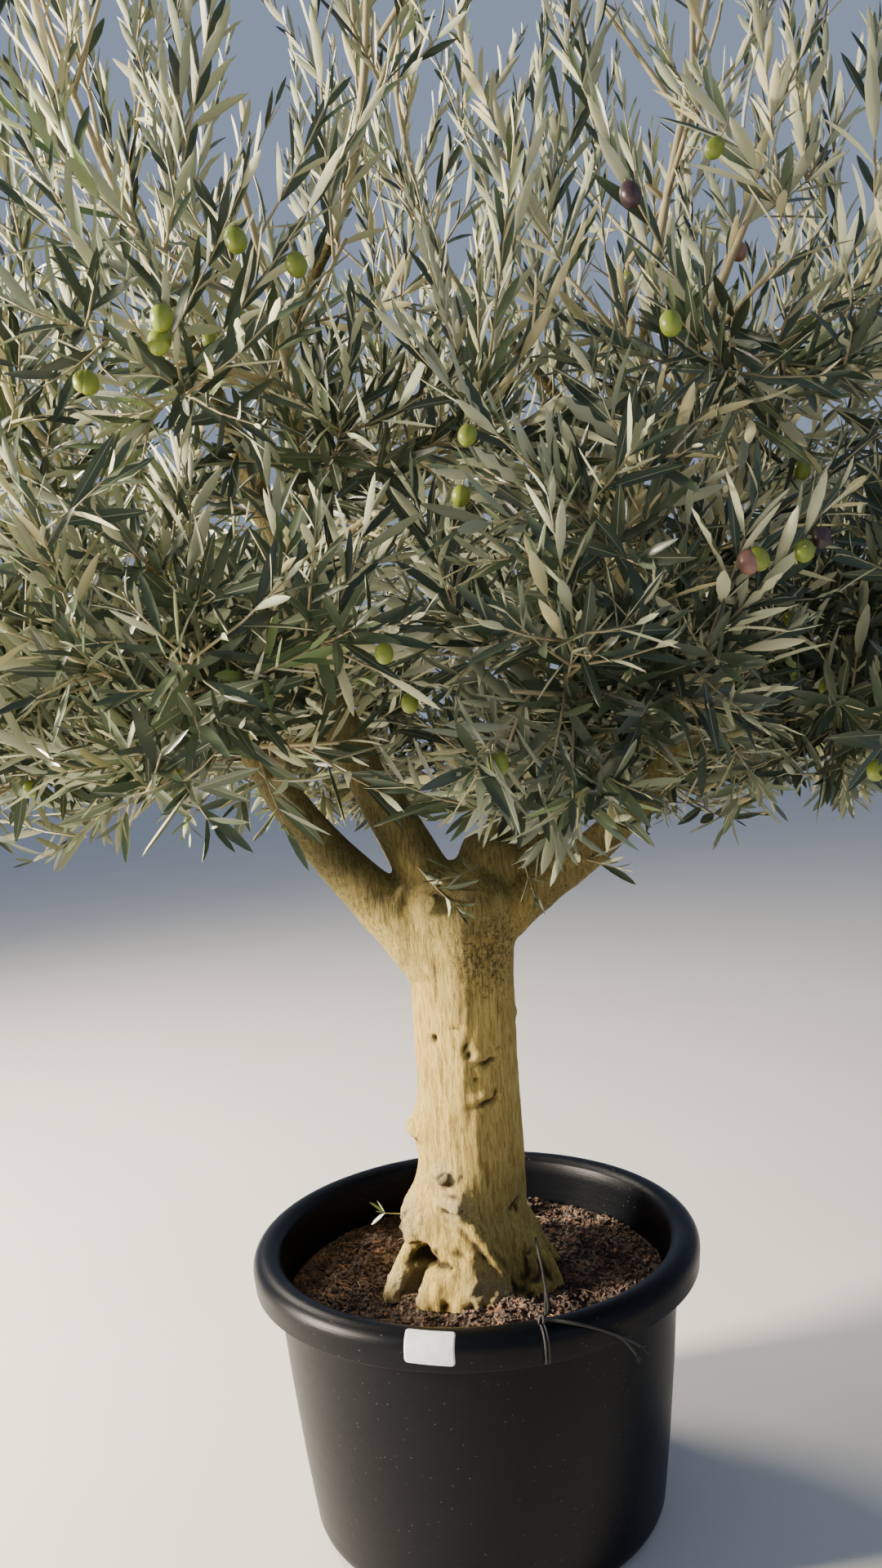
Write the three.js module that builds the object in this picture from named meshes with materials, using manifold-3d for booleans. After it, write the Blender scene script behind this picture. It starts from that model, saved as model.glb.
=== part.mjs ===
// A potted olive tree: a stout pollarded olive in a round black nursery container.
// Millimetres, +Z up. The origin is the middle of the container's flat underside, +X is to the
// viewer's right and -Y is towards the viewer. Bearings are in degrees from +X towards +Y.
//
// The container, its soil, the trunk, each bough, each limb and each mass of foliage is a solid of
// its own. A mass is one stem with twigs and leaf sprays fused on it, and keeps to its own share of
// the crown: the points that lie nearer to its middle than to any other mass's.
import * as THREE from "three";
import { mergeVertices } from "three/addons/utils/BufferGeometryUtils.js";
import Module from "manifold-3d";

const wasm = await Module();
wasm.setup();

const GAP = 0.3; // clearance where one solid meets the next
const DEG = Math.PI / 180;

// The container
const POT_HEIGHT = 435;
const RIM_RADIUS = 350;
const WALL = 5;
const FOOT_RADIUS = 277;
const FOOT_ROUND = 30;
const FOOT_BEVEL = 0.3; // where the foot's round has its corner, of the round
const WALL_TOP_RADIUS = 314.5;
const LIP_RADIUS = 23; // of the rolled lip's outer face
const LIP_DROP = 48; // from the top of the lip to its lower edge
const LIP_TUCK = 2; // how far its lower edge draws in
const LIP_SEAT = 6; // how far over the roll's middle the wall runs into it
const LIP_ANGLES = [0, 35, 70, 105, 150]; // where the roll's outer face has a corner
const UNDER_LIP_ANGLES = [95, 25]; // and its inner face
const INNER_TOP_RADIUS = WALL_TOP_RADIUS - 1.7 * WALL;
const INNER_TOP = POT_HEIGHT - LIP_RADIUS - 8;
const INNER_FOOT_RADIUS = FOOT_RADIUS - WALL;
const INNER_FOOT = FOOT_ROUND + 2;
const INNER_BEVEL = 0.4;
const POT_SEGMENTS = 36;

// The soil
const SOIL_TOP = 352;
const SOIL_EDGE_DROP = 6;
const SOIL_FLAT_RADIUS = 170;

// The trunk
const TRUNK_FOOT = SOIL_TOP + GAP;
const TRUNK_TOP = 1015;
const TRUNK_SIDES = 28;
const TRUNK_RINGS = 22;
const TRUNK_RADIUS = 82; // where it is slimmest
const TRUNK_LEAN = 7; // how far its middle moves to +X from foot to fork
const FLARE = 24; // how much wider it stands at the soil
const FLARE_HEIGHT = 90;
const HEAD_SWELL = 16; // how much it widens under the fork
const HEAD_LOW = 840;
const HEAD_RADIUS = 115; // that twigs keep clear of
const HEAD_DOME = [0.5, 0.8, 0.95]; // the last rings' share of the radius, from the top down
const RING_SPREAD = 0.6; // 1 would space the rings evenly, and less packs them towards the foot
// Burls, root legs and hollows: bearing and height of the middle, how far it stands out (or in),
// and its half-widths round the trunk and up it
const BURLS = [
  { bearing: 192, z: 604, out: 17, across: 24, up: 22 },
  { bearing: 198, z: 468, out: 38, across: 32, up: 30 },
  { bearing: 252, z: 512, out: 10, across: 22, up: 20 },
  { bearing: 268, z: 432, out: 15, across: 36, up: 32 },
  { bearing: 222, z: 412, out: -16, across: 26, up: 14 },
  { bearing: 194, z: 350, out: 42, across: 17, up: 34 },
  { bearing: 226, z: 350, out: 30, across: 14, up: 30 },
  { bearing: 284, z: 362, out: 22, across: 34, up: 20 },
  { bearing: 338, z: 350, out: 42, across: 24, up: 32 },
  { bearing: 20, z: 350, out: 20, across: 30, up: 34 },
  { bearing: 92, z: 350, out: 34, across: 24, up: 40 },
  { bearing: 146, z: 350, out: 26, across: 22, up: 34 },
];

// The boughs. Each leaves the fork at a bearing that drifts over its length. Its rise above the
// level is given where it leaves, at its elbow and at its end, and then it bends on to its mass.
const FORK_HEIGHT = 880;
const BOUGH_POINTS = 18;
const BEND_POINTS = 12;
const BEND_EASE = 0.35; // how long a bend keeps to its first direction
const ELBOW = 0.35; // of a bough's length
const COLLAR = 225; // the stretch of each bough that is one with the trunk
const CROTCH_SWELL = 0.75; // how much thicker a bough is where it leaves, and over what length
const CROTCH_LENGTH = 100;
const BOUGH_TAPER = 0.9;
const BOUGH_SIDES = 8;
const COLLAR_STEPS = 3;
const BOUGH_STEPS = 6;
const BOUGH_TIP_RADIUS = 11;
const BOUGHS = {
  left: { bearing: 186, drift: 28, rise: [46, 54, 62], length: 480, radius: 37, offset: 28 },
  left_upright: { bearing: 190, drift: -24, rise: [76, 62, 78], length: 620, radius: 43, offset: 15 },
  right_upright: { bearing: 3, drift: 40, rise: [56, 50, 82], length: 600, radius: 35, offset: 30 },
  right: { bearing: 356, drift: -8, rise: [44, 34, 58], length: 470, radius: 34, offset: 35 },
  back_right: { bearing: 62, drift: -6, rise: [58, 48, 66], length: 460, radius: 34, offset: 34 },
  back_left: { bearing: 126, drift: 8, rise: [58, 48, 66], length: 470, radius: 36, offset: 34 },
};
const BOUGH_FEEDS = {
  left: "middle_4",
  left_upright: "upper_3",
  right_upright: "upper_0",
  right: "middle_6",
  back_right: "middle_1",
  back_left: "middle_3",
};
// A pruned leader stands as a stub in the middle of the fork.
const STUB = { bearing: 12, rise: 68, length: 178, radius: 50 };

// The limbs leave a bough at a share of its length, and each feeds one mass.
const LIMB_SIDES = 5;
const LIMB_STEPS = 3;
const LIMB_TIP_RADIUS = 9;
const LIMB_SHARE = 0.62; // of its bough's radius, at most
const LIMB_MOST_RADIUS = 17;
const LIMBS = {
  left: { lower_4: 0.58, lower_5: 0.42 },
  left_upright: { centre: 0.6, middle_5: 0.42, upper_2: 0.74, upper_4: 0.66 },
  right_upright: { top: 0.7, upper_5: 0.6, middle_0: 0.48 },
  right: { lower_7: 0.58, lower_6: 0.44 },
  back_right: { lower_0: 0.48, lower_1: 0.6, upper_1: 0.72 },
  back_left: { lower_3: 0.5, lower_2: 0.6, middle_2: 0.72 },
};

// The crown's reach: a dome over its widest level and a flatter bowl under it. The masses stand in
// three rings round a centre and a top.
const CROWN = { x: -25, y: -40, z: 1560, radius: 830 };
const DOME = { height: 865, power: 2.8 };
const BOWL = { height: 530, power: 4.5 };
// Each ring's masses: how many, the first one's bearing, how far out, how high, how steeply their
// stems stand, how long their sprays are, and how strongly the sprays turn up
const RINGS = {
  lower: { count: 8, bearing: 22.5, out: 545, z: 1255, lean: 8, spray: 185, lift: 0.05 },
  middle: { count: 7, bearing: 0, out: 520, z: 1640, lean: 48, spray: 200, lift: 0.45 },
  upper: { count: 6, bearing: 30, out: 440, z: 2030, lean: 66, spray: 235, lift: 0.9 },
};
const CENTRES = {
  centre: { bearing: 0, z: 1590, lean: 80, spray: 200, lift: 0.6 },
  top: { bearing: 0, z: 2060, lean: 85, spray: 240, lift: 1 },
};
const FIRST_SEED = 1000;
const SEED_STEP = 37;
const ENTRY_DEPTH = 0.8; // how far out in its mass a limb ends, of the way to the mass's edge
const ENTRY_SHARE = 0.6; // and at most this share of its way from where it left to the middle
const HALVINGS = 24; // in the search for the crown's edge
const CELL_MARGIN = 2; // each mass stays this far inside its share of the crown
const LIMB_MARGIN = 3; // and its twigs and sprays this far from every limb

// Twigs and leaf sprays. A spray is one keeled blade that stands for a shoot with its leaves.
const STEM_SIDES = 4;
const STEM_STEPS = 3;
const STEM_TIP_RADIUS = 7;
const STEM_REACH = 0.45; // past the mass's middle, of the way to its edge
const TRIES = 8; // for each twig and each spray
const TWIGS = 7;
const TWIG_SIDES = 3;
const TWIG_RADIUS = 4.4;
const TWIG_TIP_RADIUS = 3.6;
const TWIG_FIRST = 0.12; // of the stem's length
const TWIG_ANGLES = [82, 30]; // from the stem, at its foot and at its tip
const TWIG_REACH = [0.4, 0.68]; // of the way to the mass's edge
const TWIG_LENGTHS = [45, 280];
const TWIG_TURN = [0.8, 1.1]; // how much the angle varies
const TWIG_LIFT = 0.35; // of the sprays' lift
const SPRAY_SPACING = 78;
const SPRAYS_MOST = 20; // in one mass
const SPRAY_ANGLE = 48; // from the twig
const SPRAY_END_ANGLE = 14; // of the one at a twig's end
const SPRAY_TURN = [0.7, 1.3]; // how much the angle, length, lift and reach of a spray vary
const SPRAY_STRETCH = [0.8, 1.2];
const SPRAY_RAISE = [0.4, 1];
const SPRAY_REACH = [0.88, 1];
const SPRAY_INSET = 0.6; // from either end of a twig, in spacings
const STEM_END = 0.98; // where a stem's last spray sits
const LENGTH_WORTH = 0.2; // how much a long spray counts against an empty place
const SPRAY_WIDTH = 54;
const SPRAY_KEEL = 6; // how far its ridge stands over its edges
const SPRAY_WIDEST = 0.46; // along its length
const SPRAY_LEAST = 0.5; // of its full length
const SPRAY_APART = 30; // between the middle lines of two blades, or of a blade and a twig
const TWIG_CLEARANCE = 8; // between a blade and its own twig
const ROOT_FREE = 15; // the first stretch of a blade or twig, which may lie close to its parent
const ROOT_DEPTH = 1.5; // past the middle of the twig that carries it
const OLIVE = { length: 26, width: 21, sink: 5 };
const OLIVE_MASSES = ["lower_4", "lower_5", "lower_6", "upper_4"].concat(
  [2, 4, 5, 6].map((place) => "middle_" + place),
);

const BARK = { color: 0xa8966a, roughness: 0.9, metalness: 0 };
const BOUGH_BARK = { color: 0x8d8052, roughness: 0.9, metalness: 0 };
const FOLIAGE = { color: 0x6f7a55, roughness: 0.55, metalness: 0 };
const BLACK_PLASTIC = { color: 0x1d1e20, roughness: 0.5, metalness: 0 };
const POTTING_SOIL = { color: 0x3a261b, roughness: 1, metalness: 0 };

// A repeatable stream of numbers from 0 to 1.
function seededRandom(seed) {
  let state = seed >>> 0;
  return () => {
    state = (state + 0x6d2b79f5) >>> 0;
    let t = Math.imul(state ^ (state >>> 15), 1 | state);
    t = (t + Math.imul(t ^ (t >>> 7), 61 | t)) ^ t;
    return ((t ^ (t >>> 14)) >>> 0) / 4294967296;
  };
}

const vec = (x, y, z) => new THREE.Vector3(x, y, z);
const UP = vec(0, 0, 1);
const mix = (a, b, t) => a + (b - a) * t;

// The direction at a bearing round the tree and a rise above the level, both in degrees.
function heading(bearing, rise) {
  const level = Math.cos(rise * DEG);
  return vec(level * Math.cos(bearing * DEG), level * Math.sin(bearing * DEG), Math.sin(rise * DEG));
}

// Two directions square to each other and to the given one.
function squareTo(direction) {
  const spare = Math.abs(direction.z) < 0.9 ? UP : vec(1, 0, 0);
  const side = spare.clone().cross(direction).normalize();
  return [side, direction.clone().cross(side).normalize()];
}

function solidOf(geometry) {
  const bare = new THREE.BufferGeometry().setAttribute("position", geometry.getAttribute("position"));
  bare.setIndex(geometry.getIndex());
  const merged = mergeVertices(bare, 1e-4);
  return new wasm.Manifold(
    new wasm.Mesh({
      numProp: 3,
      vertProperties: merged.attributes.position.array,
      triVerts: new Uint32Array(merged.index.array),
    }),
  );
}

// The outer skin of a solid's largest piece, so that loose scraps and sealed hollows are dropped.
function geometryOf(solid) {
  const largest = solid.decompose().reduce((a, b) => (b.volume() > a.volume() ? b : a));
  const mesh = largest.getMesh();
  const positions = new Float32Array(mesh.numVert * 3);
  for (let i = 0; i < mesh.numVert; i++) {
    positions.set(mesh.vertProperties.subarray(i * mesh.numProp, i * mesh.numProp + 3), i * 3);
  }
  const geometry = new THREE.BufferGeometry();
  geometry.setAttribute("position", new THREE.BufferAttribute(positions, 3));
  geometry.setIndex(new THREE.BufferAttribute(new Uint32Array(mesh.triVerts), 1));
  return geometry;
}

// A closed skin over rings of equal count, each a list of points, with a flat fan at either end.
function skinOver(rings) {
  const sides = rings[0].length;
  const positions = [];
  const faces = [];
  for (const ring of rings) ring.forEach((p) => positions.push(p.x, p.y, p.z));
  for (let j = 0; j + 1 < rings.length; j++) {
    for (let i = 0; i < sides; i++) {
      const a = j * sides + i;
      const b = j * sides + ((i + 1) % sides);
      faces.push(a, b, b + sides, a, b + sides, a + sides);
    }
  }
  const last = (rings.length - 1) * sides;
  for (let i = 1; i + 1 < sides; i++) {
    faces.push(0, i + 1, i, last, last + i, last + i + 1);
  }
  const geometry = new THREE.BufferGeometry();
  geometry.setAttribute("position", new THREE.Float32BufferAttribute(positions, 3));
  geometry.setIndex(faces);
  return geometry;
}

// A bend from one point to another that sets out towards a third.
function bend(start, control, end) {
  return Array.from({ length: BEND_POINTS + 1 }, (_, i) => {
    const t = i / BEND_POINTS;
    return start.clone().lerp(control, t).lerp(control.clone().lerp(end, t), t);
  });
}

// A line through points: its length, and the place and direction at any share of it.
function lineThrough(points) {
  const last = points.length - 1;
  const reached = [0];
  for (let i = 1; i <= last; i++) reached.push(reached[i - 1] + points[i].distanceTo(points[i - 1]));
  const headings = points.map((_, i) => {
    const before = points[Math.max(0, i - 1)];
    return points[Math.min(last, i + 1)].clone().sub(before).normalize();
  });
  const at = (share) => {
    const goal = share * reached[last];
    let i = 1;
    while (i < last && reached[i] < goal) i++;
    const t = (goal - reached[i - 1]) / (reached[i] - reached[i - 1]);
    return {
      point: points[i - 1].clone().lerp(points[i], t),
      along: headings[i - 1].clone().lerp(headings[i], t).normalize(),
    };
  };
  return { length: reached[last], at };
}

// A path is a list of places on a line, each with a radius.
function pathOf(line, shares, radiusAt) {
  return shares.map((share) => ({ ...line.at(share), radius: radiusAt(share) }));
}

// Shares from one to another in even steps
const evenShares = (from, to, steps) => Array.from({ length: steps + 1 }, (_, i) => mix(from, to, i / steps));

// The rings of a tapering limb round a path, each square to the path and none twisted.
function ringsRound(path, sides, extra = 0) {
  let [side] = squareTo(path[0].along);
  return path.map(({ point, along, radius }) => {
    side = side.clone().addScaledVector(along, -side.dot(along)).normalize();
    const other = along.clone().cross(side);
    return Array.from({ length: sides }, (_, k) => {
      const turn = (2 * Math.PI * k) / sides;
      return point
        .clone()
        .addScaledVector(side, (radius + extra) * Math.cos(turn))
        .addScaledVector(other, (radius + extra) * Math.sin(turn));
    });
  });
}

// The container: a flat foot with a rounded corner, a tapering wall and a lip rolled outwards.
function containerProfile() {
  const lipMiddle = vec(RIM_RADIUS - LIP_RADIUS, POT_HEIGHT - LIP_RADIUS, 0);
  const lipPoint = (radius, angle) => [
    lipMiddle.x + radius * Math.cos(angle * DEG),
    lipMiddle.y + radius * Math.sin(angle * DEG),
  ];
  const underLip = LIP_RADIUS - WALL;
  return [
    [0, 0],
    [FOOT_RADIUS - FOOT_ROUND, 0],
    [FOOT_RADIUS - FOOT_BEVEL * FOOT_ROUND, FOOT_BEVEL * FOOT_ROUND],
    [FOOT_RADIUS, FOOT_ROUND],
    [WALL_TOP_RADIUS, lipMiddle.y + LIP_SEAT],
    ...UNDER_LIP_ANGLES.map((angle) => lipPoint(underLip, angle)),
    [RIM_RADIUS - WALL - LIP_TUCK, POT_HEIGHT - LIP_DROP],
    [RIM_RADIUS - LIP_TUCK, POT_HEIGHT - LIP_DROP],
    ...LIP_ANGLES.map((angle) => lipPoint(LIP_RADIUS, angle)),
    [INNER_TOP_RADIUS, INNER_TOP],
    [INNER_FOOT_RADIUS, INNER_FOOT],
    [INNER_FOOT_RADIUS - INNER_BEVEL * FOOT_ROUND, INNER_BEVEL * FOOT_ROUND],
    [INNER_FOOT_RADIUS - FOOT_ROUND, WALL],
    [0, WALL],
  ];
}

function turned(profile) {
  const points = profile.map(([r, z]) => new THREE.Vector2(r, z));
  return new THREE.LatheGeometry(points, POT_SEGMENTS).rotateX(Math.PI / 2);
}

// The inner wall's radius at a height, for the soil that fills it.
function innerRadius(z) {
  return mix(INNER_FOOT_RADIUS, INNER_TOP_RADIUS, (z - INNER_FOOT) / (INNER_TOP - INNER_FOOT));
}

function soilProfile() {
  const edge = SOIL_TOP - SOIL_EDGE_DROP;
  return [
    [0, WALL + GAP],
    [INNER_FOOT_RADIUS - FOOT_ROUND - 4 * GAP, WALL + GAP],
    [INNER_FOOT_RADIUS - 4 * GAP, INNER_FOOT + 1],
    [innerRadius(edge) - 2 * GAP, edge],
    [SOIL_FLAT_RADIUS, SOIL_TOP],
    [0, SOIL_TOP],
  ];
}

// The trunk's radius at a height and bearing: a column that flares at the soil, swells under the
// fork, and carries burls, root legs and hollows.
function trunkRadius(z, bearing) {
  const flare = Math.exp(-(z - SOIL_TOP) / FLARE_HEIGHT);
  const head = Math.min(1, Math.max(0, (z - HEAD_LOW) / (TRUNK_TOP - HEAD_LOW)));
  let radius = TRUNK_RADIUS + FLARE * flare + HEAD_SWELL * head * head * (3 - 2 * head);
  for (const burl of BURLS) {
    const turn = ((bearing - burl.bearing + 540) % 360) - 180;
    const across = (turn * DEG * TRUNK_RADIUS) / burl.across;
    const up = (z - burl.z) / burl.up;
    radius += burl.out * Math.exp(-0.5 * (across * across + up * up));
  }
  return radius;
}

function trunkMiddle(z) {
  return TRUNK_LEAN * Math.min(1, (z - TRUNK_FOOT) / (FORK_HEIGHT - TRUNK_FOOT));
}

function trunkColumn() {
  const rings = [];
  for (let j = 0; j <= TRUNK_RINGS; j++) {
    const share = j / TRUNK_RINGS;
    const z = mix(TRUNK_FOOT, TRUNK_TOP, share * mix(RING_SPREAD, 1, share));
    const dome = HEAD_DOME[TRUNK_RINGS - j] ?? 1;
    rings.push(
      Array.from({ length: TRUNK_SIDES }, (_, i) => {
        const bearing = (360 * i) / TRUNK_SIDES;
        const radius = dome * trunkRadius(z, bearing);
        const turn = bearing * DEG;
        return vec(trunkMiddle(z) + radius * Math.cos(turn), radius * Math.sin(turn), z);
      }),
    );
  }
  return skinOver(rings);
}

// The masses, each with its middle and its seed
function massPlan() {
  const plan = [];
  for (const [ring, sizes] of Object.entries(RINGS)) {
    for (let i = 0; i < sizes.count; i++) {
      const bearing = sizes.bearing + (360 * i) / sizes.count;
      const out = heading(bearing, 0).multiplyScalar(sizes.out);
      plan.push({ ...sizes, name: ring + "_" + i, bearing, middle: out.add(vec(CROWN.x, CROWN.y, sizes.z)) });
    }
  }
  for (const [name, sizes] of Object.entries(CENTRES)) {
    plan.push({ ...sizes, name, middle: vec(CROWN.x, CROWN.y, sizes.z) });
  }
  return plan.map((mass, i) => ({ ...mass, seed: FIRST_SEED + SEED_STEP * i }));
}

// How far out p lies in the crown's reach: under 1 is inside.
function crownMeasure(p) {
  const { height, power } = p.z > CROWN.z ? DOME : BOWL;
  const level = Math.hypot(p.x - CROWN.x, p.y - CROWN.y) / CROWN.radius;
  return Math.pow(level, power) + Math.pow(Math.abs(p.z - CROWN.z) / height, power);
}

// The distance from p to the edge of a mass's share of the crown, going along a direction.
function roomAlong(mass, masses, p, direction) {
  let room = 2 * CROWN.radius;
  for (const other of masses) {
    if (other === mass) continue;
    const across = other.middle.clone().sub(mass.middle);
    const apart = across.length();
    across.divideScalar(apart);
    const inside = apart / 2 - CELL_MARGIN - p.clone().sub(mass.middle).dot(across);
    const speed = direction.dot(across);
    if (inside < 0) return 0;
    if (speed > 1e-9) room = Math.min(room, inside / speed);
  }
  if (crownMeasure(p.clone().addScaledVector(direction, room)) > 1) {
    let low = 0;
    let high = room;
    for (let i = 0; i < HALVINGS; i++) {
      const middle = (low + high) / 2;
      if (crownMeasure(p.clone().addScaledVector(direction, middle)) > 1) high = middle;
      else low = middle;
    }
    room = low;
  }
  return room;
}

function isInside(mass, masses, p) {
  if (crownMeasure(p) > 1) return false;
  return masses.every((other) => {
    if (other === mass) return true;
    const across = other.middle.clone().sub(mass.middle);
    const apart = across.length();
    return p.clone().sub(mass.middle).dot(across) / apart <= apart / 2 - CELL_MARGIN;
  });
}

// Where a bough or limb that comes from a point enters its mass.
function entryPoint(mass, masses, from) {
  const towards = from.clone().sub(mass.middle);
  const whole = towards.length();
  towards.divideScalar(whole);
  const room = roomAlong(mass, masses, mass.middle, towards);
  return mass.middle.clone().addScaledVector(towards, Math.min(ENTRY_DEPTH * room, ENTRY_SHARE * whole));
}

// A bough's line: its own rise in short steps, and then a bend to where it enters its mass.
function boughLine({ bearing, drift, rise, length, offset }, mass, masses) {
  const [leaving, elbow, end] = rise;
  const riseAt = (share) =>
    share < ELBOW ? mix(leaving, elbow, share / ELBOW) : mix(elbow, end, (share - ELBOW) / (1 - ELBOW));
  const fork = vec(trunkMiddle(FORK_HEIGHT), 0, FORK_HEIGHT);
  const points = [fork.addScaledVector(heading(bearing, 0), offset)];
  for (let i = 0; i < BOUGH_POINTS; i++) {
    const share = (i + 0.5) / BOUGH_POINTS;
    const step = heading(bearing + drift * share, riseAt(share)).multiplyScalar(length / BOUGH_POINTS);
    points.push(points[i].clone().add(step));
  }
  const tip = points.at(-1);
  const along = heading(bearing + drift, end);
  const entry = entryPoint(mass, masses, tip);
  const control = tip.clone().addScaledVector(along, BEND_EASE * tip.distanceTo(entry));
  return lineThrough([...points, ...bend(tip, control, entry).slice(1)]);
}

// A bough's line and path, and its rings: first the collar's, then those of its free part.
function growBough(sizes, mass, masses) {
  const line = boughLine(sizes, mass, masses);
  const radiusAt = (share) => {
    const swell = 1 + CROTCH_SWELL * Math.exp((-share * line.length) / CROTCH_LENGTH);
    return swell * mix(sizes.radius, BOUGH_TIP_RADIUS, Math.pow(share, BOUGH_TAPER));
  };
  const split = COLLAR / line.length;
  const free = evenShares(split + GAP / line.length, 1, BOUGH_STEPS);
  const path = pathOf(line, [...evenShares(0, split, COLLAR_STEPS), ...free], radiusAt);
  return { line, radiusAt, path, rings: ringsRound(path, BOUGH_SIDES) };
}

// A limb leaves its bough along the bough's own direction and bends over to its mass.
function limbPath(bough, at, mass, masses) {
  const { point, along } = bough.line.at(at);
  const entry = entryPoint(mass, masses, point);
  const control = point.clone().addScaledVector(along, BEND_EASE * point.distanceTo(entry));
  const root = Math.min(LIMB_MOST_RADIUS, LIMB_SHARE * bough.radiusAt(at));
  const line = lineThrough(bend(point, control, entry));
  return pathOf(line, evenShares(0, 1, LIMB_STEPS), (share) => mix(root, LIMB_TIP_RADIUS, share));
}

// The shortest distance between two straight stretches, a to b and c to d.
function stretchDistance(a, b, c, d) {
  const u = b.clone().sub(a);
  const v = d.clone().sub(c);
  const w = a.clone().sub(c);
  const uu = u.dot(u);
  const uv = u.dot(v);
  const vv = v.dot(v);
  const uw = u.dot(w);
  const vw = v.dot(w);
  const spread = uu * vv - uv * uv;
  const clamp = (x) => Math.min(1, Math.max(0, x));
  let s = spread > 1e-9 ? clamp((uv * vw - vv * uw) / spread) : 0;
  const t = clamp((uv * s + vw) / vv);
  s = clamp((uv * t - uw) / uu);
  return w.addScaledVector(u, s).addScaledVector(v, -t).length();
}

// Whether a stretch with some girth keeps clear of every path by a margin.
function clearOf(paths, a, b, girth) {
  return paths.every((path) =>
    path.slice(1).every((end, i) => {
      const start = path[i];
      const thickness = Math.max(start.radius, end.radius);
      return stretchDistance(a, b, start.point, end.point) > thickness + girth + LIMB_MARGIN;
    }),
  );
}

// A turn away from a direction by an angle, at a bearing round it, lifted towards the sky.
function turnedFrom(direction, angle, round, lift) {
  const [side, other] = squareTo(direction);
  return direction
    .clone()
    .multiplyScalar(Math.cos(angle))
    .addScaledVector(side, Math.sin(angle) * Math.cos(round))
    .addScaledVector(other, Math.sin(angle) * Math.sin(round))
    .addScaledVector(UP, lift)
    .normalize();
}

// The stem of a mass goes on from the tip of its limb and bends to the mass's own lean.
function stemOf(mass, masses, tip) {
  const start = tip.point.clone().addScaledVector(tip.along, GAP);
  const lean = heading(mass.bearing, mass.lean);
  const reach = STEM_REACH * roomAlong(mass, masses, mass.middle, lean);
  const goal = mass.middle.clone().addScaledVector(lean, reach);
  const control = start.clone().addScaledVector(tip.along, BEND_EASE * goal.distanceTo(start));
  const line = lineThrough(bend(start, control, goal));
  const radiusAt = (share) => mix(tip.radius, STEM_TIP_RADIUS, share);
  const [foot, ...rest] = pathOf(line, evenShares(0, 1, STEM_STEPS), radiusAt);
  return { at: line.at, path: [{ ...foot, along: tip.along }, ...rest] };
}

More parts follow.
